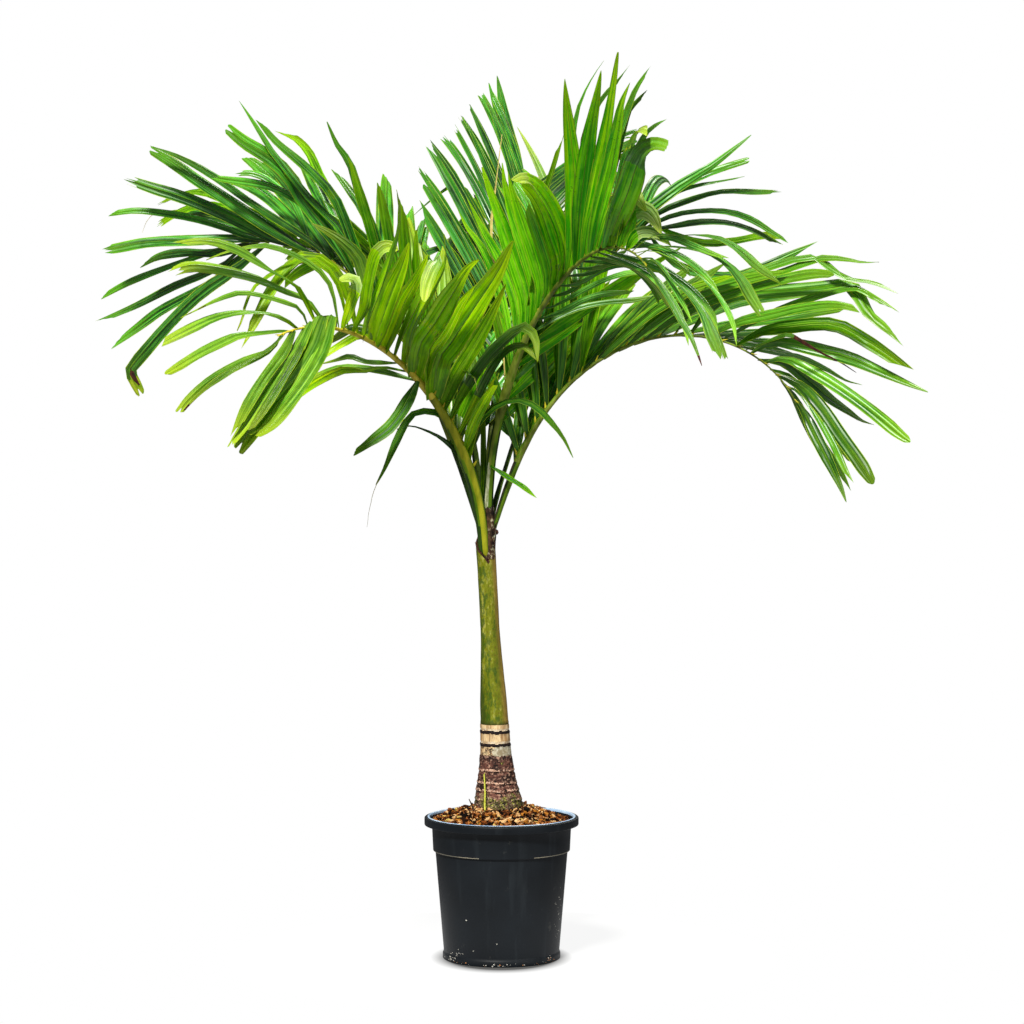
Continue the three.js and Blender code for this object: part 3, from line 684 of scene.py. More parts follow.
def makeCrownshaft():
    green = crownshaftFinish("crownshaftGreen", (126, 130, 14), (86, 94, 5), (44, 74, 1), (190, 184, 98),
                             (92, 62, 12))
    inner = crownshaftFinish("innerSheathGreen", (90, 112, 12), (58, 82, 5), (34, 60, 2), (160, 156, 84),
                             (66, 42, 18))
    fibre = barkFinish("sheathFibre", (64, 34, 24), (18, 9, 8), (128, 84, 62), 170, (1, 1, 0.5), 0.8)
    torn = barkFinish("tornSheath", (92, 66, 40), (24, 13, 10), (236, 228, 184), 84, (1, 1, 0.7), 0.9)
    makeSheath([green, inner, fibre, ribFinishes["scurf"]])
    makeInnerSheaths([inner, fibre, torn])
    makeSheathFibres(fibre)


# a thin round bar along points, with its radius at each
def bar(bag, points, radii, sides=6, inks=0):
    points = np.asarray(points, float)
    rings = []
    side = None
    for number, (point, radius) in enumerate(zip(points, radii)):
        way = unit(points[min(number + 1, len(points) - 1)] - points[max(number - 1, 0)])
        if side is None:
            side = np.cross(way, (0, 0, 1))
            if np.linalg.norm(side) < 0.1:
                side = np.cross(way, (1, 0.2, 0))
        side = unit(side - way * np.dot(side, way))
        other = np.cross(way, side)
        rings.append([point + radius * (side * math.cos(a) + other * math.sin(a)) for a in turns(sides)])
    bag.tube(rings, inks)


makeTrunk()
makeCrownshaft()
print("stem made")


# Pot, a lathe form in blue-black plastic

pot = {
    "height": 312, "rimRadius": 169.5, "rimInner": 158, "rimFoot": 294,
    "collarRadius": 153, "collarFootRadius": 150.5, "collarFoot": 238, "stepRadius": 145.5,
    "baseRadius": 127, "footRadius": 129.5, "footHeight": 14, "wall": 3,
    # the underside is a little hollow inside the ring that the pot stands on
    "hollow": 1.6, "ringInner": 122.5, "ringOuter": 127.5, "floorTop": 4.4, "collarMiddle": 266,
    "rimRound": 2.4, "rimDrop": 3.2, "lipRound": 2.6, "lipDrop": 1.2,
    "columns": 192, "oval": 0.0012,
    "drains": 8, "drainInner": 98, "drainOuter": 116, "drainDepth": 2.4, "drainWidth": 0.1, "drainRow": 3,
}


# radius and height of each corner, from the middle of the underside over the rim to the floor inside
def potProfile():
    throat = pot["collarRadius"] - pot["wall"]
    rim, top, hollow, floor = pot["rimRadius"], pot["height"], pot["hollow"], pot["floorTop"]
    foot, footHeight, base = pot["footRadius"], pot["footHeight"], pot["baseRadius"]
    step, collar, collarFoot = pot["stepRadius"], pot["collarFootRadius"], pot["collarFoot"]
    wide, lip = pot["rimRound"], pot["lipRound"]
    profile = [
        (30, hollow), (60, hollow), (pot["drainInner"], hollow), (pot["drainInner"] + 1, hollow),
        (pot["drainOuter"] - 1, hollow), (pot["drainOuter"], hollow),
        (pot["ringInner"] - 1.5, hollow), (pot["ringInner"], 0), (pot["ringOuter"], 0),
        (foot - 0.4, 0.7), (foot, 2), (foot, footHeight - 3), (foot - 0.8, footHeight - 0.6),
        (base + 0.3, footHeight + 2.4), (base + 0.3, footHeight + 4),
    ]
    for share in (0.2, 0.4, 0.6, 0.8, 0.985):
        profile.append((lerp(base, step, share), lerp(footHeight, collarFoot, share)))
    profile += [
        (step - 0.3, collarFoot - 1.2), (step + 0.2, collarFoot - 0.3), (collar - 1.2, collarFoot - 0.2),
        (collar - 0.2, collarFoot + 0.6), (collar, collarFoot + 2),
        (lerp(collar, pot["collarRadius"], 0.5), pot["collarMiddle"]),
        (pot["collarRadius"], pot["rimFoot"] - 1.5), (pot["collarRadius"] + 0.8, pot["rimFoot"]),
        (rim - 2.2, pot["rimFoot"] + 0.2), (rim - 0.5, pot["rimFoot"] + 0.9), (rim, pot["rimFoot"] + 2.4),
    ]
    for a in (0, 0.4, 0.8, 1.2, 1.57):
        profile.append((rim - wide + wide * math.cos(a), top - pot["rimDrop"] + wide * math.sin(a)))
    profile += [(pot["rimInner"] + 6, top - 0.7), (pot["rimInner"] + 5.2, top - 0.5)]
    for a in (-0.9, -0.45, 0, 0.5, 1.0, 1.57):  # the inner edge is a low bead
        profile.append((pot["rimInner"] + lip - lip * math.sin(a), top - pot["lipDrop"] + lip * math.cos(a)))
    profile += [
        (pot["rimInner"], top - 4), (pot["rimInner"] - 1.5, top - 8), (throat, pot["rimFoot"] + 1),
        (collar - pot["wall"], collarFoot + 2), (step - pot["wall"], collarFoot - 3),
        (base - pot["wall"], 2 * footHeight), (base - pot["wall"] - 2, floor), (60, floor), (20, floor),
    ]
    return profile


def plasticFinish(name, body, shade, gloss, scuff):
    finish = Finish(name, {"Specular IOR Level": 0.2})
    film = finish.cloud(9, 4)
    streak = finish.cloud(40, 4, (1, 1, 0.1))
    grit = finish.cloud(420, 2)
    marks = finish.cloud(34, 6, (1, 1, 1), 0.75)
    colour = finish.coats(
        finish.blend(finish.step(film, 0.3, 0.7), ink(*shade), ink(*body)),
        (finish.step(streak, 0.55, 0.75) * 0.3, (44, 50, 54)),
        (finish.step(marks, 0.64, 0.7) * scuff, (84, 84, 78)))
    return finish.feed({"Base Color": colour, "Roughness": film * 0.16 + gloss,
                        "Normal": finish.relief(grit, 0.1, 0.0004)})


def makePot():
    bag = Bag()

    def wall(row, radius, height, angle):
        drained = abs(angle * pot["drains"] / (2 * math.pi) % 1 - 0.5) < pot["drainWidth"]
        z = height
        if drained and pot["drainInner"] < radius < pot["drainOuter"] and height < 2:
            z += pot["drainDepth"] - pot["hollow"]
        oval = 1 + pot["oval"] * math.cos(2 * angle + 0.6)  # such a pot is never quite round
        # a pale blue line on the rim's inner bead is a painted highlight of the sky
        paintedRimHighlight = height > pot["height"] - 1.3 and radius < pot["rimInner"] + 5
        # a pale line on the step at both sides: partly scuffs, partly painted highlight
        scuffsAndStepHighlight = (abs(height - pot["collarFoot"] - 1) < 1 and radius > pot["stepRadius"] + 0.5
                   and abs(math.cos(angle)) > 0.35 + 0.2 * grain(angle * 4, 0, 1))
        tone = 2 if drained and row == pot["drainRow"] else 1 if paintedRimHighlight else 3 if scuffsAndStepHighlight else 0
        return (radius * oval * math.cos(angle), radius * oval * math.sin(angle), z), tone

    bag.shell([[wall(row, radius, height, angle) for angle in turns(pot["columns"])]
               for row, (radius, height) in enumerate(potProfile())], capInks=(0, 0))
    bag.piece("nurseryPot", [
        plasticFinish("potPlastic", (17, 22, 27), (10, 14, 18), 0.42, 0.25),
        plasticFinish("potPaintedRimHighlight", (206, 228, 250), (132, 164, 200), 0.3, 0.2),
        plasticFinish("potDrain", (14, 15, 16), (8, 8, 9), 0.7, 0.0),
        plasticFinish("potScuffsAndPaintedStepHighlight", (156, 148, 128), (58, 58, 54), 0.6, 0.2),
    ], "pot", "pot", 32)


# Chips of bark, from a flat many-sided outline with two uneven faces

mulch = {
    "edge": 149.5, "edgeHeight": 300, "chipEdge": 153.5, "moundRadius": 64, "moundHeight": 325,
    "bedColumns": 96, "bedRows": 30, "bedMiddle": 6, "bedSunk": 7, "bedFoot": 262.0,
    "chips": 4300, "dustChips": 1800, "chipMiddle": 0.08,
    "chipSizes": [(2, 4), (2.6, 6.4)], "dustSize": (1.2, 2.6), "chipLift": (-5, 5), "dustLift": (-4, 2.5),
    "long": (1.0, 1.8), "wide": (0.55, 0.95), "thick": (0.3, 0.6),
    "corners": 6, "cornerShift": 0.28, "cornerReach": (0.8, 1.12), "cornerLift": 0.35,
    # a chip has three rings of corners, from one face to the other: how high, and how wide there
    "levels": [(-1, 1), (-0.25, 1), (1, 0.72)],
    "tints": [
        ((176, 112, 58), (104, 54, 23)), ((144, 80, 33), (80, 39, 14)), ((88, 46, 21), (44, 22, 9)),
        ((230, 192, 136), (180, 128, 76)), ((42, 22, 12), (16, 9, 6)), ((18, 10, 7), (7, 4, 3)),
        ((194, 128, 46), (132, 74, 20)), ((216, 190, 108), (158, 128, 58)),
    ],
    "shares": [0.15, 0.15, 0.14, 0.15, 0.16, 0.15, 0.08, 0.02],
    # specks of soil on the pot, most of them in a few clusters: heading, height, spread of both, count, ink
    "clusters": [
        (-148, 12, 5, 9, 16, 0), (-140, 22, 14, 14, 12, 0), (-37, 10, 4, 7, 9, 1), (-34, 12, 6, 9, 9, 0),
        (-22, 100, 10, 70, 26, 0), (-90, 4, 80, 5, 24, 0), (-90, 4, 80, 4, 14, 1), (-110, 60, 60, 60, 4, 0),
        (90, 12, 88, 14, 26, 0), (90, 12, 88, 14, 14, 1),
    ],
    "speckAngles": (0, 1.05, 2.1, 3.14, 4.2, 5.24), "speckRings": [(-0.6, 1), (0.15, 0.9), (0.45, 0.4)],
    # a dead twig with its fork, and a thin green shoot: points, thickness, sides and ink
    "twigs": [
        ([(-60, -50, 322), (-63, -51, 340), (-71, -53, 357)], [2.2, 1.9, 1.0], 7, 0),
        ([(-64, -51, 338), (-66, -54, 346), (-64, -56, 350)], [1.2, 1.0, 0.4], 5, 0),
    ],
    "shoot": ([(-35, -55, 317), (-36.5, -53, 340), (-36, -47, 370), (-37, -42, 396), (-38, -40, 408),
               (-36, -41, 413)], [2.3, 2.2, 1.9, 1.7, 1.6, 0.5], 8, 2),
    "straws": 26, "strawRadii": (70, 72), "strawReach": (7, 14), "strawEdge": 144, "strawTurn": 6.283,
}


def moundHeight(x, y):
    r = math.hypot(x, y)
    share = clamp((mulch["edge"] - r) / (mulch["edge"] - mulch["moundRadius"]))
    height = lerp(mulch["edgeHeight"], mulch["moundHeight"] + 3, smooth(share) * 0.5 + share * 0.5)
    return height + 3.5 * grain(x / 34, y / 34, 7) + 10 * bump(math.hypot(x + 118, y + 20), 0, 34)


def makeMulchBed():
    bag, rows = Bag(), mulch["bedRows"]

    def surface(row, angle):
        radius = lerp(mulch["edge"], mulch["bedMiddle"], row / rows)
        x, y = radius * math.cos(angle), radius * math.sin(angle)
        return x, y, moundHeight(x, y) - mulch["bedSunk"] + 2.2 * grain(x / 7, y / 7, 3)

    rings = [[surface(row, angle) for angle in turns(mulch["bedColumns"])] for row in range(rows + 1)]
    low = [(0.98 * x, 0.98 * y, mulch["bedFoot"]) for x, y, z in rings[0]]
    bag.tube([low] + rings, 0)
    bed = plainFinish("mulchDark", (34, 19, 12), (12, 7, 5), 0.95, 160, (1, 1, 1), 0.004, 1.0)
    bag.piece("mulchBed", [bed], "soil", "bark_mulch", 60)


# a chip in its place: its middle, two axes and the lengths along all three; none where the stem stands
def dealChip(fine):
    radius = math.sqrt(dice.uniform(mulch["chipMiddle"], 1)) * (mulch["chipEdge"] - 4)
    angle = dice.uniform(0, 2 * math.pi)
    x, y = radius * math.cos(angle), radius * math.sin(angle)
    if math.hypot(x - stem["footCentre"], y) < trunkRadius(stem["soilTop"]) - 6:
        return None
    if fine:
        size = dice.uniform(*mulch["dustSize"])
    else:
        size = dice.choice([dice.uniform(*sizes) for sizes in mulch["chipSizes"]])
    lift = dice.uniform(*mulch["dustLift" if fine else "chipLift"])
    if radius > mulch["edge"] - 14:  # they lie smaller and higher along the pot's wall
        lift = 3 + 0.5 * lift
        size *= 0.7
    middle = np.array([x, y, moundHeight(x, y) + lift])
    way = unit(np.array([dice.gauss(0, 1), dice.gauss(0, 1), dice.gauss(0, 0.38)]))
    side = unit(np.cross(way, (dice.gauss(0, 0.4), dice.gauss(0, 0.4), 1)))
    return middle, way, side, [size * dice.uniform(*mulch[key]) for key in ("long", "wide", "thick")]


def makeChips():
    bag = Bag()
    kinds = np.cumsum(mulch["shares"])
    corners, shift, bent = mulch["corners"], mulch["cornerShift"], mulch["cornerLift"]
    for number in range(mulch["chips"] + mulch["dustChips"]):
        dealt = dealChip(number >= mulch["chips"])
        if dealt is None:
            continue
        middle, way, side, (long, wide, thick) = dealt
        over = np.cross(way, side)
        rings = []
        for level, spread in mulch["levels"]:
            ring = []
            for k in range(corners):
                a = 2 * math.pi * (k + dice.uniform(-shift, shift)) / corners
                reach = spread * dice.uniform(*mulch["cornerReach"])
                ring.append(middle + way * long * reach * math.cos(a) + side * wide * reach * math.sin(a)
                            + over * thick * (level + dice.uniform(-bent, bent)))
            rings.append(ring)
        tint = int(np.searchsorted(kinds, dice.random() * kinds[-1]))
        bag.tube(rings, min(tint, len(mulch["tints"]) - 1))
    finishes = [plainFinish("chip%d" % n, body, shade, 0.85, 320, (1, 1, 1), 0.0012, 0.8, 0.08)
                for n, (body, shade) in enumerate(mulch["tints"])]
    bag.piece("barkChips", finishes, slot="bark_mulch", sharp=35)


# a dead twig, straws and a thin green shoot stand in the mulch
def makeTwigs():
    bag = Bag()
    for twig in mulch["twigs"]:
        bar(bag, *twig)
    for number in range(mulch["straws"]):
        draws = [chance(41, number, draw) for draw in range(4)]
        angle, turn = mulch["strawTurn"] * draws[0], mulch["strawTurn"] * draws[2]
        radius = mulch["strawRadii"][0] + mulch["strawRadii"][1] * draws[1]
        reach = mulch["strawReach"][0] + mulch["strawReach"][1] * draws[3]
        x, y = radius * math.cos(angle), radius * math.sin(angle)
        dx, dy = reach * math.cos(turn), reach * math.sin(turn)
        z = moundHeight(x, y) + 5
        if max(math.hypot(x + dx, y + dy), math.hypot(x - dx, y - dy)) < mulch["strawEdge"]:
            points = [(x - dx, y - dy, z - 2), (x, y, z + 2), (x + dx, y + dy, z)]
            bar(bag, points, [0.8, 0.9, 0.5], 5, number % 2)
    bar(bag, *mulch["shoot"])
    bag.piece("twigsAndShoot", [
        plainFinish("twigDark", (70, 50, 40), (38, 28, 24), 0.9, 200),
        plainFinish("strawPale", (196, 166, 118), (150, 118, 78), 0.8, 200),
        plainFinish("shootGreen", (206, 206, 84), (170, 172, 44), 0.5, 200),
    ], slot="bark_mulch")


def potRadius(z):
    if z < pot["footHeight"]:
        return pot["footRadius"]
    share = (z - pot["footHeight"]) / (pot["collarFoot"] - pot["footHeight"])
    return lerp(pot["baseRadius"], pot["stepRadius"], share)


def makeSpecks():
    bag = Bag()
    for place, (heading, height, aside, above, count, tint) in enumerate(mulch["clusters"]):
        for number in range(count):
            draws = [chance(43 + place, number, draw) for draw in range(6)]
            angle = math.radians(heading + aside * (draws[0] + draws[5] - 1))
            z = max(2.5, height + above * (draws[1] + draws[2] - 1))
            size = 0.4 + 1.1 * draws[3] ** 2
            out = np.array([math.cos(angle), math.sin(angle), 0])
            side = np.array([-out[1], out[0], 0])
            middle = out * (potRadius(z) + 0.1) + (0, 0, z)
            rings = []
            for depth, grow in mulch["speckRings"]:
                rings.append([middle + out * depth + grow * size * (side * math.cos(a) * (1 + draws[4])
                                                                    + (0, 0, math.sin(a)))
                              for a in mulch["speckAngles"]])
            bag.tube(rings, tint)
    bag.piece("potSpecks", [
        plainFinish("dirtPale", (206, 204, 196), (160, 156, 144), 0.9, 300),
        plainFinish("dirtOrange", (176, 120, 76), (120, 78, 48), 0.9, 300),
    ], slot="bark_mulch")


makePot()
makeMulchBed()
makeChips()
makeTwigs()
makeSpecks()
print("pot and mulch made")


# Fronds. Each leaves the stem at its foot, heads for its azimuth and bends over from the first lean to
# the second. spread is the angle of a leaflet to the rib, rise its angle above the frond's own plane.
# top and under name the greens of the two faces, rib the colours above and below. bands are the colours
# across the stalk, each up to its place from left to right as its sides face; the deep green side bands are
# partly painted shade. thick is the rib's radius at its places.

plainRib = {"bands": [(0, "deep"), (2, "green")], "rib": ("green", "olive"),
            "thick": (13, 9.5, 7.2, 5.6, 4.2, 1.7), "channel": 1}

fronds = [
    {
        "name": "frond_front_left", "foot": (-38, -12, 905), "azimuth": 209, "turn": 30, "lean": (3, 107),
        "bend": 1.05, "length": 891, "firstLeaf": 0.18, "pairs": 21, "roll": (-9, -15), "tilt": (-30, 0),
        "spread": (56, 22), "riseLeft": (63, -12), "riseRight": (57, 23), "droop": (17, 57),
        "leafLength": 458, "leafWidth": 49, "fullFrom": 0.15, "firstShare": 0.56, "lastShare": 0.9,
        "top": "paleTop", "under": "freshUnder",
        "bands": [(-0.62, "deep"), (-0.35, "green"), (0.45, "yellow"), (2, "green")], "bandsTo": 0.4,
        "rib": ("goldAndPaintedLight", "goldAndPaintedLight"),
        "thick": (14, 17, 14.2, 9.6, 6, 1.8), "channel": 0.2,
        # odd leaflets that hang by themselves, through these points; face is the way that they are turned,
        # and inks are those above, below, of the midrib, the margins and the spots
        "strays": [
            {"points": [(-177, -128, 1280), (-194, -142, 1244), (-213, -152, 1209), (-242, -160, 1171),
                        (-281, -167, 1141), (-319, -172, 1114)],
             "width": 34, "face": (-0.3, -1, 0.6), "tip": "slant", "inks": "dark dark midrib margin dried"},
            {"points": [(-92, -58, 1150), (-111, -66, 1180), (-137, -72, 1200), (-168, -78, 1205),
                        (-193, -84, 1198), (-210, -90, 1176), (-232, -96, 1129), (-251, -100, 1084),
                        (-271, -104, 1045)],
             "width": 19, "face": (-0.4, -1, 0.7), "tip": "thread", "inks": "dark dark midrib margin dried",
             "thread": 105},
            {"points": [(-60, -28, 1053), (-77, -40, 1091), (-101, -48, 1121), (-133, -58, 1148),
                        (-168, -66, 1165), (-198, -74, 1173), (-226, -80, 1165)],
             "width": 13, "face": (-0.6, -0.7, 1), "tip": "thread", "inks": "black black black dark dried"},
            {"points": [(-77, -50, 1119), (-59, -66, 1163), (-35, -80, 1198), (-3, -92, 1221),
                        (36, -100, 1230), (75, -104, 1215), (107, -106, 1183), (133, -106, 1149),
                        (155, -104, 1103)],
             "width": 17, "face": (0.2, -1, 0.9), "tip": "thread", "inks": "dark dark midrib margin dried"},
        ],
    },
    {
        "name": "frond_front_right", "foot": (-30, -8, 1000), "azimuth": -48, "turn": -27, "lean": (4, 115),
        "bend": 1.11, "length": 1060, "firstLeaf": 0.16, "pairs": 22, "roll": (-26, -33), "tilt": (20, -36),
        "spread": (47, 16), "riseLeft": (40, 24), "riseRight": (62, 38), "droop": (3, 31),
        "leafLength": 521, "leafWidth": 43, "fullFrom": 0.55, "firstShare": 0.5, "lastShare": 0.75,
        "top": "glossTop", "under": "brightUnder",
        "bands": [(-0.75, "deep"), (0, "scurf"), (0.6, "green"), (2, "deep")], "rib": ("olive", "olive"),
        "thick": (12, 10, 10.4, 6.4, 4.6, 1.6), "channel": 0.6,
        "strays": [
            {"points": [(-29, -18, 1086), (-19, -30, 1083), (12, -44, 1063), (48, -56, 1040),
                        (77, -64, 1015)],
             "width": 14, "face": (0.2, -1, 1), "tip": "thread",
             "inks": "under2 under2 midrib margin dried"},
        ],
    },
    {
        "name": "frond_right", "foot": (-16, -2, 955), "azimuth": -7, "turn": 1, "lean": (17, 154),
        "bend": 1.6, "length": 931, "firstLeaf": 0.13, "pairs": 22, "roll": (-6, -19), "tilt": (-45, -34),
        "spread": (44, 26), "riseLeft": (32, 19), "riseRight": (65, 27), "droop": (14, 34),
        "leafLength": 464, "leafWidth": 38, "fullFrom": 0.6, "firstShare": 0.61, "lastShare": 0.63,
        "top": "softTop", "under": "mildUnder",
        "bands": [(-0.5, "brown"), (0, "deep"), (2, "green")], "rib": ("green", "olive"),
        "thick": (8.5, 11.5, 7.2, 4.8, 3.6, 1.5), "channel": 0.6,
    },
    {
        "name": "frond_left", "foot": (-43, 4, 950), "azimuth": 167, "turn": -16, "lean": (20, 103),
        "bend": 2.45, "length": 946, "firstLeaf": 0.2, "pairs": 21, "roll": (11, 10), "tilt": (-26, -29),
        "spread": (55, 7), "riseLeft": (49, 13), "riseRight": (30, 37), "droop": (5, 38),
        "leafLength": 490, "leafWidth": 36, "fullFrom": 0.5, "firstShare": 0.46, "lastShare": 0.85,
        "top": "deepTop", "under": "mildUnder",
        **plainRib,
    },
    {
        "name": "frond_back_right", "foot": (-24, 10, 970), "azimuth": 45, "turn": 1, "lean": (22, 62),
        "bend": 1.5, "length": 867, "firstLeaf": 0.2, "pairs": 19, "roll": (0, -10), "tilt": (-20, -20),
        "spread": (59, 22), "riseLeft": (46, 36), "riseRight": (55, 18), "droop": (17, 57),
        "leafLength": 442, "leafWidth": 39, "fullFrom": 0.12, "firstShare": 0.49, "lastShare": 0.8,
        "top": "deepTop", "under": "mildUnder",
        **plainRib, "thick": (9, 6, 5.6, 5, 4, 1.7),
    },
    {
        "name": "frond_back", "foot": (-32, 10, 990), "azimuth": 78, "turn": 1, "lean": (12, 62),
        "bend": 1, "length": 978, "firstLeaf": 0.25, "pairs": 21, "roll": (-1, 13), "tilt": (0, 0),
        "spread": (47, 29), "riseLeft": (36, 39), "riseRight": (48, 22), "droop": (10, 42),
        "leafLength": 393, "leafWidth": 31, "fullFrom": 0.28, "firstShare": 0.8, "lastShare": 0.94,
        "top": "tealTop", "under": "mildUnder",
        **plainRib, "bands": [(2, "olive")],
    },
    {
        "name": "frond_back_left", "foot": (-40, 10, 960), "azimuth": 124, "turn": -6, "lean": (10, 88),
        "bend": 1.5, "length": 820, "firstLeaf": 0.2, "pairs": 19, "roll": (0, 0), "tilt": (-30, -30),
        "spread": (48, 20), "riseLeft": (38, 24), "riseRight": (38, 24), "droop": (14, 50),
        "leafLength": 400, "leafWidth": 41, "fullFrom": 0.22, "firstShare": 0.62, "lastShare": 0.8,
        "top": "deepTop", "under": "mildUnder",
        **plainRib,
    },
]

# Leaflets that can be told apart in the photograph are led through places that were picked in it. For
# each: width, the side that faces the front, how it ends, its tint, the places after the root in pixels from
# the photograph's upper left corner, and extras. Of these, depth and near change how it goes to or from the
# viewer, and makeBlade tells the rest. Four shapes of root come often: broad, even, slim and stalked.
broad, even = {"root": (0.58, 0.18, 0.8, 22)}, {"root": (0.5, 0.22, 0.8, 30)}
slim, stalked = {"root": (0.42, 0.3, 0.8, 34)}, {"root": (0.16, 0.8, 3, 50)}
ledFaces = {
    "top": ((-0.15, -1, 0.45), (-0.15, -1, 0.45)), "under": ((0.15, 1, -0.45), (0.15, 1, -0.45)),
    "turningTop": ((0, -0.25, 1), (-0.15, -1, 0.45)), "turningUnder": ((0, 0.1, 1), (0.15, 1, -0.1)),
}

ledLeaflets = {}
ledLeaflets["frond_front_left"] = {
    0: (25, "under", "drawn", 2, [(470, 448), (474, 430), (482, 408), (495, 378)]),
    2: (24, "under", "slant", 0, [(473, 425), (485, 402), (497, 384)]),
    4: (20, "under", "slant", 1, [(472, 408), (490, 372), (505, 352), (522, 346), (538, 360)],
        {"tail": (0.35, "top2")}),
    6: (30, "under", "thread", 2, [(462, 398), (485, 362), (505, 341), (524, 328), (535, 337), (538, 362)],
        {"tail": (0.3, "top2")}),
    8: (34, "under", "drawn", 2, [(455, 378), (473, 348), (491, 315), (506, 284)], {**broad, "depth": 0.45}),
    10: (62, "under", "drawn", 0, [(438, 362), (452, 342), (473, 310), (496, 275), (513, 241)], broad),
    12: (36, "under", "drawn", 1, [(432, 355), (446, 335), (461, 306), (475, 286)], {**broad, "depth": 0.7}),
    13: (15, "top", "slant", 1, [(400, 376), (385, 372), (364, 368), (341, 367), (320, 374), (299, 384)]),
    14: (52, "under", "drawn", 0, [(420, 345), (434, 325), (452, 295), (468, 270), (479, 260)], broad),
    15: (20, "turningUnder", "slant", 1, [(395, 368), (380, 366), (364, 370), (345, 369), (325, 378),
        (305, 391), (286, 408)]),
    16: (42, "under", "drawn", 1, [(411, 335), (421, 312), (436, 284), (446, 262), (444, 234)], broad),
    17: (13, "top", "thread", 1, [(382, 362), (365, 361), (350, 356), (335, 360), (321, 364)]),
    18: (30, "under", "round", 2, [(409, 322), (420, 298), (431, 272), (440, 258), (434, 266), (427, 283),
        (424, 302)], {"tail": (0.62, "pale")}),
    19: (22, "top", "slant", 2, [(378, 338), (365, 329), (350, 328), (338, 336), (329, 343)]),
    20: (38, "under", "drawn", 1, [(396, 325), (405, 302), (418, 278), (428, 255)], broad),
    21: (18, "under", "slant", 1, [(362, 336), (345, 343), (331, 352), (320, 359)]),
    22: (50, "under", "drawn", 0, [(383, 318), (391, 294), (402, 266), (409, 243)], broad),
    23: (34, "top", "drawn", 2, [(368, 300), (360, 262), (346, 245), (330, 233), (312, 224)],
        {"depth": 0.8}),
    24: (42, "under", "drawn", 0, [(372, 312), (381, 290), (395, 252), (401, 216), (397, 190)], broad),
    25: (28, "under", "slant", 2, [(345, 285), (325, 264), (305, 256), (286, 272), (270, 294), (258, 318),
        (239, 348)]),
    26: (34, "under", "round", 0, [(366, 308), (370, 285), (377, 256), (388, 247), (398, 250)],
        {"tail": (0.86, "pale")}),
    27: (12, "under", "thread", 2, [(338, 285), (318, 262), (298, 261), (280, 270), (258, 284), (247, 301),
        (243, 318), (237, 331)]),
    28: (34, "under", "round", 1, [(352, 305), (356, 290), (352, 280), (340, 281)], {"tail": (0.7, "pale")}),
    29: (13, "top", "thread", 1, [(330, 285), (312, 264), (290, 252), (267, 245), (247, 247), (225, 252),
        (206, 260)]),
    30: (38, "top", "lobes", 1, [(331, 315), (321, 347), (304, 377), (286, 402), (268, 424), (252, 435)],
        even),
    31: (30, "turningTop", "torn", 1, [(310, 300), (290, 291), (262, 278), (240, 272), (215, 267),
        (190, 265), (168, 272)]),
    32: (44, "top", "lobes", 0, [(322, 315), (310, 345), (291, 376), (268, 404), (248, 434), (234, 454)],
        even),
    33: (23, "turningTop", "slant", 1, [(300, 288), (280, 275), (260, 262), (240, 250), (222, 243),
        (200, 240), (174, 244)]),
    34: (40, "top", "lobes", 1, [(309, 322), (294, 350), (273, 378), (253, 408), (229, 446)], even),
    35: (14, "top", "drawn", 1, [(300, 308), (280, 300), (255, 293), (240, 292), (228, 295), (212, 302),
        (198, 309), (180, 318)], {"spots": (11, 13)}),
    36: (28, "top", "round", 2, [(300, 342), (287, 368), (270, 396), (249, 430)], even),
    37: (28, "turningTop", "slant", 1, [(285, 317), (265, 312), (240, 311), (215, 316), (190, 328),
        (160, 344)]),
    38: (26, "top", "slant", 0, [(284, 350), (264, 377), (247, 405), (233, 436)], even),
    39: (24, "turningTop", "round", 1, [(280, 330), (255, 332), (237, 334), (220, 342), (195, 355),
        (165, 374)]),
    40: (18, "top", "slant", 2, [(263, 352), (234, 368), (208, 386), (188, 404)]),
    41: (22, "top", "lobes", 0, [(270, 349), (240, 363), (210, 380), (190, 398), (177, 414)],
        {"edge": ("dried", 7, 15)}),
}
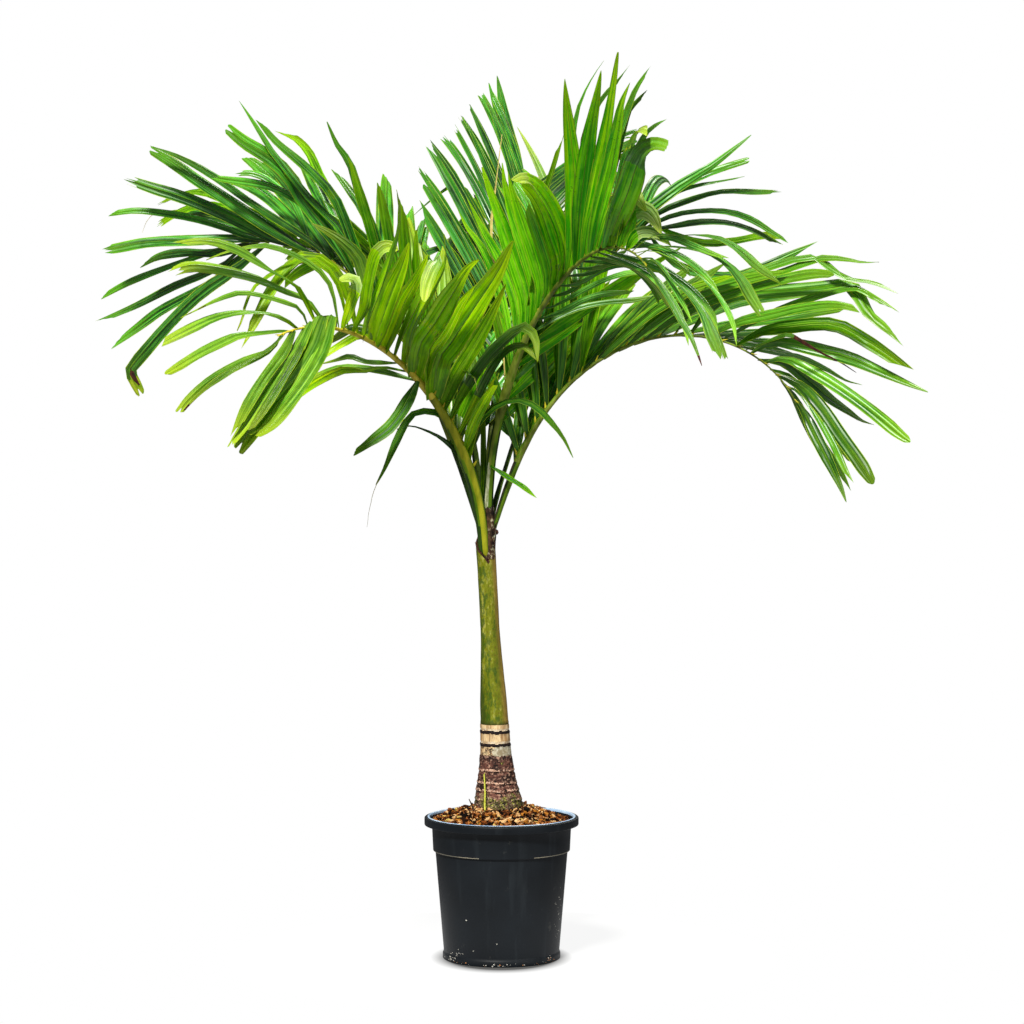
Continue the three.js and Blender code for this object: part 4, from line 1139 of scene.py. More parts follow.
ledLeaflets["frond_left"] = {
    16: (22, "top", "thread", 0, [(378, 245), (362, 205), (350, 165), (337, 145), (327, 122)]),
    18: (25, "top", "slant", 0, [(352, 240), (335, 198), (318, 177), (300, 160), (275, 139), (258, 118)]),
    19: (24, "top", "slant", 2, [(375, 240), (362, 207), (350, 190), (333, 168)]),
    20: (17, "top", "thread", 1, [(345, 235), (310, 198), (290, 173), (273, 152), (262, 135), (250, 117),
        (239, 101)]),
    21: (22, "under", "slant", 0, [(345, 220), (322, 180), (311, 156), (300, 142), (290, 136), (276, 130)]),
    22: (34, "top", "lobes", 1, [(335, 240), (300, 195), (290, 176), (270, 157), (245, 142), (225, 126)]),
    24: (20, "top", "torn", 1, [(330, 232), (305, 205), (285, 193), (270, 186), (250, 182), (220, 178),
        (204, 174)]),
    26: (20, "top", "thread", 2, [(310, 240), (255, 205), (215, 176), (180, 157), (150, 146)]),
    28: (32, "top", "lobes", 0, [(300, 246), (262, 222), (230, 201), (200, 181), (175, 163), (148, 147)]),
    30: (16, "top", "torn", 1, [(295, 205), (280, 189), (265, 178), (250, 173), (233, 174)]),
    31: (22, "under", "torn", 0, [(280, 228), (240, 208), (205, 193), (180, 196), (154, 207)]),
    32: (30, "top", "torn", 2, [(275, 240), (245, 224), (210, 208), (180, 196), (150, 187), (122, 177)]),
    33: (18, "under", "torn", 1, [(260, 228), (225, 208), (198, 206), (175, 215), (154, 229)]),
    34: (19, "top", "slant", 1, [(250, 236), (225, 227), (195, 218), (165, 213), (135, 210), (108, 214)]),
    36: (28, "top", "torn", 0, [(240, 238), (205, 239), (180, 240), (160, 241), (140, 243), (120, 247),
        (99, 251)]),
    37: (34, "top", "lobes", 2, [(235, 268), (205, 288), (183, 308), (160, 332), (143, 352), (129, 370),
        (134, 381), (142, 397)], {"spots": (12, 13), "tail": (0.92, "margin"), "depth": 0.45}),
    38: (25, "top", "slant", 2, [(235, 248), (210, 252), (185, 251), (160, 255), (139, 266)]),
    39: (30, "top", "slant", 0, [(228, 266), (215, 280), (190, 293), (160, 309), (135, 328), (110, 347)]),
    40: (19, "top", "slant", 1, [(215, 250), (185, 260), (165, 267), (130, 281), (100, 298)]),
    41: (25, "top", "slant", 2, [(225, 262), (205, 273), (175, 285), (140, 303), (115, 314), (95, 323)]),
}
ledLeaflets["frond_right"] = {
    15: (28, "top", "slant", 0, [(625, 332), (655, 308), (685, 292), (711, 283)]),
    17: (28, "under", "slant", 0, [(640, 322), (675, 300), (705, 286), (736, 275)]),
    19: (27, "top", "slant", 0, [(655, 320), (690, 297), (730, 283), (760, 276), (787, 272)]),
    21: (26, "top", "round", 0, [(670, 320), (705, 302), (745, 288), (785, 278), (815, 273), (834, 275)]),
    22: (26, "top", "slant", 0, [(690, 320), (740, 302), (790, 294), (830, 290)]),
    23: (20, "top", "slant", 0, [(690, 305), (730, 280), (770, 266), (800, 257), (818, 257), (832, 269),
        (848, 279), (870, 281), (899, 292)], {"edge": ("dried", 10, 12)}),
    24: (22, "top", "slant", 1, [(720, 325), (770, 320), (815, 312), (850, 308)]),
    25: (20, "top", "thread", 0, [(700, 302), (740, 285), (775, 273), (800, 264), (820, 257), (842, 258),
        (862, 262), (879, 262)]),
    26: (22, "top", "slant", 2, [(730, 333), (780, 330), (815, 325), (838, 324)]),
    27: (32, "top", "slant", 0, [(712, 306), (740, 293), (770, 291), (805, 288), (835, 285), (852, 284),
        (862, 300), (870, 315), (885, 326), (905, 345)]),
    28: (20, "top", "slant", 0, [(745, 340), (790, 343), (830, 353), (865, 364)]),
    29: (26, "top", "slant", 0, [(735, 322), (770, 314), (800, 307), (828, 304), (846, 306), (861, 310)]),
    30: (22, "top", "slant", 1, [(760, 345), (800, 360), (835, 385), (855, 402)]),
    31: (18, "top", "slant", 0, [(760, 318), (810, 298), (852, 287), (870, 295), (884, 303), (898, 313)]),
    32: (16, "top", "drawn", 1, [(775, 352), (800, 357), (825, 368), (845, 380), (862, 385)]),
    33: (30, "under", "slant", 2, [(765, 331), (800, 326), (825, 324), (844, 328), (860, 337), (880, 350),
        (900, 364), (912, 373)]),
    34: (10, "top", "drawn", 2, [(786, 334), (797, 338), (810, 346), (824, 354), (840, 362), (856, 373)],
        {"tail": (0.5, "dried"), "near": 190}),
    35: (32, "top", "drawn", 0, [(770, 342), (795, 344), (820, 350), (850, 358), (880, 371), (905, 382),
        (928, 392)]),
    36: (30, "top", "drawn", 2, [(785, 362), (810, 381), (830, 398), (850, 412), (862, 420), (874, 425)]),
    37: (28, "top", "round", 1, [(785, 358), (815, 373), (840, 388), (865, 406), (885, 422), (899, 434),
        (910, 442)]),
    38: (26, "top", "round", 1, [(790, 375), (812, 402), (835, 432), (853, 462)]),
    39: (34, "top", "round", 2, [(800, 385), (822, 408), (840, 435), (858, 460), (873, 484)]),
    40: (22, "top", "drawn", 1, [(793, 395), (808, 425), (824, 455), (838, 484), (842, 494)]),
    41: (17, "top", "slant", 1, [(800, 392), (815, 412), (831, 440), (845, 470), (852, 484)]),
    42: (16, "top", "slant", 1, [(800, 410), (820, 440), (840, 470), (850, 492)]),
    43: (27, "top", "drawn", 2, [(804, 412), (816, 437), (829, 462), (840, 486), (846, 502)]),
}
ledLeaflets["frond_front_right"] = {
    3: (6, "under", "thread", 2, [(500, 300), (491, 240), (495, 190), (502, 134)], {"tail": (0.0, "straw")}),
    5: (24, "under", "drawn", 2, [(508, 335), (497, 285), (481, 247), (468, 229), (458, 210)]),
    7: (28, "under", "drawn", 2, [(516, 308), (502, 266), (485, 235), (466, 197)], slim),
    9: (38, "under", "drawn", 2, [(526, 302), (515, 262), (503, 225), (492, 195), (482, 167)], slim),
    10: (14, "top", "slant", 2, [(555, 318), (580, 307), (607, 302), (632, 300), (656, 296)]),
    11: (30, "under", "drawn", 2, [(535, 292), (525, 252), (513, 215), (506, 188), (502, 163)]),
    12: (14, "top", "slant", 0, [(560, 312), (583, 300), (603, 294), (634, 292)]),
    13: (32, "under", "drawn", 2, [(541, 285), (531, 247), (521, 217), (513, 192), (508, 172)]),
    14: (14, "top", "slant", 1, [(553, 306), (572, 296), (591, 286), (611, 277), (636, 272), (653, 279)]),
    15: (26, "under", "slant", 2, [(549, 275), (541, 245), (533, 222), (526, 202)]),
    16: (20, "top", "slant", 2, [(570, 290), (590, 271), (611, 257), (629, 250)]),
    17: (40, "under", "slant", 0, [(557, 265), (549, 235), (541, 212), (531, 195), (519, 184)], slim),
    18: (17, "top", "slant", 0, [(578, 283), (597, 271), (620, 264), (645, 267), (665, 276)]),
    19: (48, "under", "slant", 0, [(565, 262), (561, 237), (551, 212), (539, 192), (526, 180), (513, 184)],
        {**slim, "tail": (0.9, "pale")}),
    20: (17, "top", "slant", 2, [(590, 272), (615, 260), (640, 261), (660, 270), (673, 283)]),
    21: (40, "under", "drawn", 1, [(573, 240), (575, 200), (574, 165), (569, 122), (565, 79)], slim),
    22: (17, "top", "slant", 0, [(595, 267), (620, 261), (645, 268), (660, 285), (668, 302)],
        {"tail": (0.2, "pale")}),
    23: (38, "under", "drawn", 0, [(579, 225), (583, 182), (590, 132), (596, 100), (601, 71)], slim),
    24: (18, "top", "slant", 2, [(605, 261), (630, 264), (650, 282), (661, 305)]),
    25: (37, "under", "drawn", 1, [(588, 228), (596, 190), (605, 142), (612, 98), (618, 52)], slim),
    26: (17, "top", "slant", 1, [(612, 260), (640, 270), (660, 290), (675, 315)], {"tail": (0.15, "pale")}),
    27: (46, "under", "drawn", 0, [(600, 215), (611, 172), (619, 130), (623, 105), (630, 83)], slim),
    28: (15, "top", "slant", 1, [(622, 260), (650, 274), (672, 300), (683, 322), (690, 345)]),
    29: (44, "under", "slant", 1, [(610, 215), (622, 178), (633, 142), (641, 130), (651, 135)],
        {**slim, "tail": (0.86, "pale")}),
    30: (19, "top", "slant", 1, [(630, 257), (660, 267), (690, 287), (710, 311), (721, 335)]),
    31: (52, "under", "slant", 0, [(616, 222), (628, 192), (638, 162), (648, 149), (660, 147), (670, 151)],
        {**slim, "tail": (0.74, "top0")}),
    32: (16, "top", "slant", 1, [(635, 241), (660, 250), (677, 262), (692, 275)]),
    33: (52, "under", "drawn", 1, [(619, 225), (621, 205), (627, 194), (637, 197), (646, 211)],
        {**slim, "tail": (0.58, "pale")}),
    34: (15, "top", "slant", 0, [(642, 238), (669, 237), (690, 244), (710, 252), (728, 259)]),
    35: (46, "under", "drawn", 2, [(629, 228), (634, 215), (643, 211), (653, 218), (661, 234)],
        {**slim, "tail": (0.52, "pale")}),
    36: (16, "top", "slant", 0, [(650, 245), (675, 252), (700, 268), (715, 286), (722, 302)]),
    37: (32, "under", "drawn", 2, [(636, 238), (646, 234), (658, 237), (671, 246)], {"tail": (0.4, "pale")}),
    38: (22, "turningTop", "slant", 2, [(652, 236), (680, 235), (700, 235), (720, 238), (740, 250),
        (760, 268), (783, 282)], stalked),
    39: (17, "turningTop", "slant", 1, [(652, 250), (672, 258), (695, 272), (715, 290), (727, 308),
        (734, 326), (738, 346)], stalked),
    40: (24, "turningTop", "lobes", 2, [(655, 247), (680, 247), (705, 252), (725, 262), (741, 279),
        (751, 297), (763, 316)], stalked),
    41: (34, "top", "torn", 2, [(654, 259), (671, 278), (690, 295), (704, 312), (714, 335), (724, 361)],
        stalked),
    42: (13, "top", "thread", 1, [(656, 262), (672, 285), (684, 306), (692, 323)]),
    43: (15, "top", "drawn", 2, [(655, 277), (668, 296), (680, 318), (690, 335), (697, 352), (702, 366)],
        {"tail": (0.95, "dried")}),
}
ledLeaflets["frond_back_right"] = {
    13: (20, "under", "slant", 2, [(556, 295), (543, 235), (546, 195), (555, 165), (565, 130)]),
    15: (18, "top", "drawn", 1, [(567, 260), (568, 185), (576, 115), (590, 82), (604, 61)]),
    17: (16, "top", "slant", 2, [(577, 245), (580, 180), (585, 130), (600, 100), (618, 80), (630, 66)]),
    19: (20, "top", "slant", 0, [(588, 235), (610, 160), (630, 100), (640, 81), (651, 67)]),
    21: (16, "top", "slant", 2, [(598, 230), (615, 165), (628, 114), (636, 102), (648, 91)]),
    23: (16, "top", "slant", 0, [(608, 230), (626, 175), (642, 138), (654, 126), (666, 118)]),
    25: (27, "top", "drawn", 0, [(625, 228), (655, 204), (682, 184), (710, 167), (735, 148), (751, 135)]),
    27: (10, "top", "slant", 2, [(640, 218), (665, 198), (690, 187), (715, 182), (745, 177)]),
    29: (20, "top", "lobes", 0, [(650, 212), (680, 188), (700, 176), (725, 167), (751, 159)]),
    31: (19, "top", "torn", 2, [(655, 214), (690, 199), (720, 191), (755, 191), (784, 191)]),
    33: (16, "top", "slant", 0, [(655, 222), (680, 213), (710, 210), (735, 213), (755, 221), (772, 232),
        (789, 242)]),
    35: (19, "top", "slant", 2, [(670, 226), (700, 221), (730, 222), (758, 232), (783, 246)]),
    36: (22, "top", "slant", 0, [(668, 258), (702, 274), (740, 275), (766, 266), (790, 255), (819, 243)],
        {"depth": 0.15}),
    37: (22, "under", "torn", 0, [(675, 236), (705, 244), (735, 242), (765, 236), (786, 239)]),
}
ledLeaflets["frond_back"] = {
    38: (24, "top", "drawn", 1, [(514, 165), (505, 138), (496, 112), (489, 83)]),
    40: (32, "top", "drawn", 0, [(522, 172), (512, 142), (504, 112), (497, 76)]),
    41: (24, "top", "drawn", 1, [(561, 217), (547, 188), (533, 157), (517, 127)], {"tail": (0.0, "pale")}),
}

ribShape = {
    # where the radius of each rib is given, and how flat it is above
    "steps": 60, "places": (0, 0.1, 0.25, 0.4, 0.6, 1), "flat": 0.8, "flatStalk": 0.85, "flatChannel": 0.42,
    "flatBlade": 0.9, "channelWidth": 0.45, "channelDepth": 0.38, "uneven": 0.04,
    "sides": 18, "rings": 100, "jointLength": 13, "jointRadius": 3.1, "jointTaper": 0.45, "jointSides": 7,
    "sunkTo": 868, "sunkRadius": 10, "sunkRings": 18, "sunkShare": 0.45, "scurfTo": 0.07,
}

blade = {
    "steps": 24, "stations": [0, 1, 2, 4, 6, 8, 10, 12, 14, 16, 18, 19.5, 21, 22, 23, 23.6, 24],
    "columns": [-1, -0.93, -0.66, -0.33, -0.045, 0, 0.045, 0.33, 0.66, 0.93, 1],
    # the width at the root as a share of the full width, where it is full, the power that it grows by and
    # the fold there in degrees
    "root": (0.3, 0.3, 0.8, 58), "taperPower": 0.75,
    "stagger": 0.22, "crowding": 0.93, "youngSpan": 0.15, "youngWidth": 0.75,
    "slenderFrom": 0.6, "slenderWidth": 0.65, "fullUntil": 0.45,
    "startPower": 0.8, "endPower": 1.6, "spreadPower": 1.2,
    "spreadJitter": 4, "riseJitter": 6, "lengthJitter": 0.07, "droopJitter": 0.4, "widthJitter": 0.12,
    "fold": (8, 26), "foldReach": 0.3, "twist": 26,
    # pleats along the blade, from its midrib to its margin
    "pleat": 0.09, "pleatPlaces": [0, 0.045, 0.33, 0.66, 0.93, 1], "pleats": [0.5, 0, -1, 0.8, -0.7, -0.4],
    "pleatFrom": 0.2, "ripple": 1.3, "rippleFrom": 0.3, "ripples": (9, 7), "rippleTurn": 6.28,
    "rippleShift": 2.4,
    "thickness": 0.6, "midrib": 1.4, "creased": 0.1, "dead": 0.04, "deadFrom": 0.96, "sway": 0.9,
    # how often a blade ends in each way, and the steps of a dry thread
    "tips": {"slant": 0.42, "lobes": 0.18, "torn": 0.2, "thread": 0.2}, "threadSteps": 8,
}


def ribLine(frond):
    steps = ribShape["steps"]
    points, ways = [np.array(frond["foot"], float)], []
    for i in range(steps):
        share = (i + 0.5) / steps
        lean = math.radians(lerp(*frond["lean"], share ** frond["bend"]))
        heading = math.radians(frond["azimuth"] + frond["turn"] * share)
        way = np.array([math.sin(lean) * math.cos(heading), math.sin(lean) * math.sin(heading),
                        math.cos(lean)])
        ways.append(way)
        points.append(points[-1] + way * frond["length"] / steps)
    return points, ways


def placeOnRib(frond, line, share):
    points, ways = line
    steps = ribShape["steps"]
    along = clamp(share * steps, 0, steps - 1e-4)
    step = int(along)
    point = lerp(points[step], points[step + 1], along - step)
    middle = clamp(along - 0.5, 0, steps - 1.001)
    before = int(middle)
    way = unit(lerp(ways[before], ways[before + 1], middle - before))
    heading = math.radians(frond["azimuth"] + frond["turn"] * share)
    right = np.array([math.sin(heading), -math.cos(heading), 0.0])
    upper = unit(np.cross(right, way))
    roll = lerp(*frond["roll"], share)
    return point, way, turnAbout(right, way, roll), turnAbout(upper, way, roll)


def ribRadius(share, frond):
    return float(np.interp(share, ribShape["places"], frond["thick"]))


def leafletsOf(frond, number):
    for pair in range(frond["pairs"]):
        for side in (-1, 1):
            leafNumber = 2 * pair + (side > 0)
            jitter = [2 * chance(number, leafNumber, draw) - 1 for draw in range(6)]
            rise = frond["riseLeft" if side < 0 else "riseRight"]
            share = ((pair + 0.5 + blade["stagger"] * side) / frond["pairs"]) ** blade["crowding"]
            start = lerp(frond["firstShare"], 1, min(1, share / frond["fullFrom"]) ** blade["startPower"])
            end = lerp(1, frond["lastShare"], after(share, blade["fullUntil"]) ** blade["endPower"])
            young = lerp(blade["youngWidth"], 1, min(1, share / blade["youngSpan"]))
            slender = lerp(1, blade["slenderWidth"], after(share, blade["slenderFrom"]))
            yield {
                "number": leafNumber, "share": share, "side": side,
                "at": lerp(frond["firstLeaf"], 1, share),
                "spread": lerp(*frond["spread"], share ** blade["spreadPower"])
                + blade["spreadJitter"] * jitter[0],
                "rise": lerp(*rise, share) + blade["riseJitter"] * jitter[1],
                "length": frond["leafLength"] * start * end * (1 + blade["lengthJitter"] * jitter[2]),
                "droop": lerp(*frond["droop"], share) * (1 + blade["droopJitter"] * jitter[3]),
                "tilt": lerp(*frond["tilt"], share),
                "width": frond["leafWidth"] * young * slender * (1 + blade["widthJitter"] * jitter[5]),
            }


# The drooping middle line of a blade, with its width axis and its upper side at each step
# crease: the step where it is bent down, and by how many degrees
def bladeLine(frond, line, leaf, crease=None):
    point, way, right, upper = placeOnRib(frond, line, leaf["at"])
    spread, rise = math.radians(leaf["spread"]), math.radians(leaf["rise"])
    heading = (way * math.cos(spread) + right * math.sin(spread) * math.cos(rise) * leaf["side"]
               + upper * math.sin(spread) * math.sin(rise))
    across = unit(way - heading * np.dot(way, heading))
    across = turnAbout(across, heading, leaf["tilt"] * leaf["side"])
    down = np.array([0, 0, -1.0])
    steps = blade["steps"]
    points, acrosses, overs, ways = [], [], [], []
    over = None
    for i in range(steps + 1):
        normal = np.cross(across, heading)
        over = normal if np.dot(normal, upper if over is None else over) > 0 else -normal
        points.append(point.copy())
        acrosses.append(across.copy())
        overs.append(over.copy())
        ways.append(heading.copy())
        share = (i + 0.5) / steps
        hinge = np.cross(heading, down)
        level = np.linalg.norm(hinge)
        if level > 1e-6:
            bend = leaf["droop"] / steps * 2 * share * level
            if crease and crease[0] <= i < crease[0] + 2:
                bend += crease[1] / 2
            heading = turnAbout(heading, hinge / level, bend)
        across = unit(across - heading * np.dot(across, heading))
        point = point + heading * leaf["length"] / steps
    return [np.array(part) for part in (points, acrosses, overs, ways)]


def bladeWidth(share, root, tipWidth, taperLength):
    swell = root[0] + (1 - root[0]) * np.clip(share / root[1], 0, 1) ** root[2]
    taper = tipWidth + (1 - tipWidth) * np.clip((1 - share) / taperLength, 0, 1) ** blade["taperPower"]
    return np.minimum(swell, taper)


# how each kind of tip is cut, as shares of the blade's length, how wide it is and from where it narrows; of
# two numbers the second is dealt out
tips = {
    "slant": {"cut": (0.05, 0.09), "power": 1.2, "width": (0.3, 0.25), "from": 0.26},
    "lobes": {"notch": (0.03, 0.025), "notchWidth": 0.25, "bow": 0.02, "lean": 0.02,
              "width": 0.62, "from": 0.17},
    "torn": {"teeth": 0.075, "bow": 0.03, "width": (0.55, 0.2), "from": 0.2},
    "round": {"bow": 0.03, "width": 0.45, "from": 0.13},
    "drawn": {"width": 0.05, "from": 0.45}, "thread": {"width": 0.05, "from": 0.3},
    "bowPower": 2.5,
}


# Where each lengthwise line of the blade ends, as a share of its length, how wide its tip is and where
# the blade starts to narrow
def tipOf(kind, draws, columns):
    hand = 1 if draws[0] < 0.5 else -1
    tip, wide = tips[kind], np.abs(columns)
    if kind == "slant":
        ends = 1 - (tip["cut"][0] + tip["cut"][1] * draws[1]) * (0.5 - 0.5 * hand * columns) ** tip["power"]
        return ends, tip["width"][0] + tip["width"][1] * draws[2], tip["from"]
    if kind == "lobes":
        notch = (tip["notch"][0] + tip["notch"][1] * draws[1]) * np.exp(-(columns / tip["notchWidth"]) ** 2)
        ends = 1 - notch - tip["bow"] * wide ** tips["bowPower"]
        return ends - tip["lean"] * draws[3] * (1 + columns * hand), tip["width"], tip["from"]
    if kind == "torn":
        teeth = np.array([chance(7, draws[3] * 100 + k, 1) for k in range(len(columns))])
        ends = 1 - tip["teeth"] * teeth - tip["bow"] * wide
        return ends, tip["width"][0] + tip["width"][1] * draws[2], tip["from"]
    if kind == "round":
        return 1 - tip["bow"] * wide ** tips["bowPower"], tip["width"], tip["from"]
    return np.ones(len(columns)), tip["width"], tip["from"]


# The same lines for a leaflet on a smooth curve through given points. Its upper side is turned to the
# first of two directions at the root and to the second at the tip.
def curvedLine(knots, faces):
    knots = np.array(knots, float)
    knots = np.vstack([2 * knots[0] - knots[1], knots, 2 * knots[-1] - knots[-2]])
    curve = []
    for i in range(1, len(knots) - 2):
        before, start, end, beyond = knots[i - 1:i + 3]
        square, cube = 2 * before - 5 * start + 4 * end - beyond, 3 * start - before - 3 * end + beyond
        for t in np.arange(12) / 12:
            curve.append(0.5 * (2 * start + (end - before) * t + square * t**2 + cube * t**3))
    curve = np.array(curve + [knots[-2]])
    walked = np.concatenate([[0], np.cumsum(np.linalg.norm(np.diff(curve, axis=0), axis=1))])
    steps = blade["steps"]
    marks = np.linspace(0, walked[-1], steps + 1)
    points = np.stack([np.interp(marks, walked, curve[:, axis]) for axis in range(3)], 1)
    ways = np.gradient(points, axis=0)
    ways /= np.linalg.norm(ways, axis=1, keepdims=True)
    turned = np.array([smooth(1.6 * i / steps - 0.2) for i in range(steps + 1)])[:, None]
    face = lerp(np.array(faces[0], float), np.array(faces[1], float), turned)
    overs = face - ways * np.sum(ways * face, axis=1, keepdims=True)
    overs /= np.linalg.norm(overs, axis=1, keepdims=True)
    return [points, np.cross(ways, overs), overs, ways]


# The photograph's camera is the stage's: how many pixels wide a metre is at one metre from it, the middle of
# the picture, and millimetres to a pixel at the stem. A leaflet that looks shorter there than shortFrom of
# its usual length goes less far to or from the viewer than steepest of its length in the picture.
picture = {"focus": 3196.0, "middle": 512, "pixel": 2.19, "shortFrom": 0.55, "steepest": 0.75, "nearFrom": 3}

eye = np.array(stage["camera"])
ahead = unit(np.array(stage["aim"]) - eye)
rightward = np.array([1.0, 0, 0])
upward = np.cross(rightward, ahead)


def inPicture(point):
    reach = point * mm - eye
    depth = reach @ ahead
    return [picture["middle"] + picture["focus"] * (reach @ rightward) / depth,
            picture["middle"] - picture["focus"] * (reach @ upward) / depth]


# the point that shows at a place in the picture, y millimetres behind the middle of the pot
def behind(place, y):
    right, down = [(part - picture["middle"]) / picture["focus"] for part in place]
    ray = ahead + rightward * right - upward * down
    return (eye + ray * (y * mm - eye[1]) / ray[1]) / mm


# The points under the places in the picture, each as far behind as the usual leaflet is there, in whole
# millimetres
def ledPoints(usual, length, places, extras):
    outline = np.vstack([inPicture(usual[0]), places])
    walked = np.concatenate([[0], np.cumsum(np.linalg.norm(np.diff(outline, axis=0), axis=1))])
    share, looks = walked / walked[-1], walked[-1] * picture["pixel"]
    depth = np.interp(share, np.linspace(0, 1, len(usual)), usual[:, 1]) - usual[0, 1]
    if looks < picture["shortFrom"] * length:
        depth *= min(1, picture["steepest"] * looks / max(abs(usual[-1, 1] - usual[0, 1]), 1))
    depth *= extras.get("depth", 1)
    depth -= extras.get("near", 0) * np.minimum(1, picture["nearFrom"] * share)
    return [behind(place, usual[0, 1] + y).round() for place, y in zip(places, depth[1:])]


# extras: root as in blade, tail (from what share of the length it is of another ink), spots (rows with a
# brown spot), edge (the ink of one margin and its rows) and thread (the length of a dry thread at the tip)
def makeBlade(bag, path, leaf, inks, draws, kind, extras):
    points, acrosses, overs, ways = path
    columns = np.array(blade["columns"])
    ends, tipWidth, taperLength = tipOf(kind, draws, columns)
    stations = np.array(blade["stations"]) / blade["steps"]
    share = stations[:, None] * (1 + (ends - 1)[None, :] * stations[:, None] ** 2)
    ruler = np.arange(blade["steps"] + 1) / blade["steps"]

    def along(values):
        return np.stack([np.interp(share, ruler, values[:, axis]) for axis in range(3)], -1)

    middle, across, over = along(points), along(acrosses), along(overs)
    twist = np.radians(blade["twist"] * (2 * draws[4] - 1)) * share[..., None] ** 2
    across, over = (across * np.cos(twist) + over * np.sin(twist),
                    over * np.cos(twist) - across * np.sin(twist))
    root = extras.get("root", blade["root"])
    half = leaf["width"] / 2 * bladeWidth(share, root, tipWidth, taperLength)
    folded = np.clip(1 - share / blade["foldReach"], 0, 1) ** 1.4
    fold = np.radians(lerp(lerp(*blade["fold"], draws[5]), root[3], folded))
    pleats = np.interp(np.abs(columns), blade["pleatPlaces"], blade["pleats"])
    waves = share * (blade["ripples"][0] + blade["ripples"][1] * draws[6]) + blade["rippleTurn"] * draws[7]
    sway = np.sin(waves + (columns > 0)[None, :] * blade["rippleShift"])
    height = (-np.abs(columns) * half * np.sin(fold)
              + half * blade["pleat"] * pleats * np.clip(share / blade["pleatFrom"], 0, 1)
              + blade["ripple"] * sway * np.abs(columns) ** 3 * np.clip(share / blade["rippleFrom"], 0, 1))
    surface = middle + across * (columns * half * np.cos(fold))[..., None] + over * height[..., None]
    thick = blade["thickness"] * (1 - 0.4 * share)[..., None]
    keel = np.where(np.abs(columns) < 0.03, blade["midrib"], 0.0)[None, :, None]
    keel = keel * (1 - 0.75 * share)[..., None]
    upperSide = surface + over * thick / 2
    lowerSide = surface - over * (thick / 2 + keel)
    rings = np.concatenate([upperSide, lowerSide[:, ::-1]], axis=1)
    flat = len(columns)
    u = np.concatenate([columns, columns[::-1]]) * 0.5 + 0.5
    marks = np.stack([np.broadcast_to(u, (len(stations), 2 * flat)),
                      np.concatenate([share, share[:, ::-1]], 1)], -1)
    upperInk, lowerInk, midribInk, edgeInk, spotInk = inks
    row = ([edgeInk] + [upperInk] * 3 + [midribInk] * 2 + [upperInk] * 3 + [edgeInk]
           + [edgeInk, edgeInk] + [lowerInk] * 3 + [midribInk] * 2 + [lowerInk] * 3 + [edgeInk] * 2)
    grid = np.tile(np.array(row), (len(stations) - 1, 1))
    if "tail" in extras:
        tailFrom, tailInk = extras["tail"]
        grid[stations[1:] > tailFrom] = inkOf[tailInk]
    for row in extras.get("spots", ()):
        grid[row, [2, 3, 4, 5, 16, 17, 18, 19]] = spotInk
    if "edge" in extras:
        edgeTone, first, last = extras["edge"]
        grid[first:last, :2] = grid[first:last, 20:] = inkOf[edgeTone]
    flip = np.dot(np.cross(acrosses[0], ways[0]), overs[0]) < 0
    bag.tube(rings, grid, flip=flip, marks=marks, flat=True)
    if "thread" in extras:
        makeThread(bag, points[-1], ways[-1], extras["thread"], draws[0])


# a dry thread that trails from the tip
def makeThread(bag, tip, way, length, draw):
    steps = blade["threadSteps"]
    trail, radii = [tip - way * 12], [0.9]
    for step in range(1, steps + 1):
        swing = np.array([0.1 * math.sin(step * 2 + draw * 9), 0.08 * math.cos(step * 3), -0.2])
        way = unit(way + swing)
        trail.append(trail[-1] + way * length / steps)
        radii.append(lerp(0.8, 0.3, step / steps))
    bar(bag, trail, radii, 5, inkOf["straw"])


# The stalk goes on down inside the sheaths, from the frond's foot to the middle of the stem
def sunkStalk(frond, line):
    foot, way, right, upper = placeOnRib(frond, line, 0)
    base, aside = ribShape["sunkTo"], ribShape["sunkShare"]
    middle = stemCentre(base)
    start = np.array([lerp(middle, foot[0] + middle - stemCentre(foot[2]), aside), aside * foot[1], base])
    reach = np.linalg.norm(foot - start)
    for i in range(ribShape["sunkRings"]):
        t = i / ribShape["sunkRings"]
        a, b, c, d = 2 * t**3 - 3 * t**2 + 1, t**3 - 2 * t**2 + t, 3 * t**2 - 2 * t**3, t**3 - t**2
        point = a * start + b * reach * np.array([0, 0, 1.0]) + c * foot + d * reach * way
        radius = lerp(ribShape["sunkRadius"], ribRadius(0, frond), smooth(t))
        yield point, right, upper, radius, -0.1 * (1 - t)


# the colour at one place of the rib: bands across the stalk, two faces and flecks beyond. The bands go by
# the way each side faces, and the deep green ones are partly painted shade.
def ribTone(frond, share, bare, speck, turned, isAbove):
    if bare > 0.5 or share < frond.get("bandsTo", 0):
        tone = next(tone for limit, tone in frond["bands"] if turned < limit)
        if tone == "scurf" and share > ribShape["scurfTo"] + 0.04 * speck:
            return "olive"
        return tone
    above, below = frond["rib"]
    tone = above if isAbove else below
    if speck > 0.4 and tone in ("yellow", "olive", "green"):
        return "green" if tone == "olive" else "olive"
    return tone


def ribSections(frond, line):
    yield from sunkStalk(frond, line)
    count = ribShape["rings"]
    for i in range(count + 1):
        share = (i / count) ** 1.15
        point, way, right, upper = placeOnRib(frond, line, share)
        yield point, right, upper, ribRadius(share, frond), share


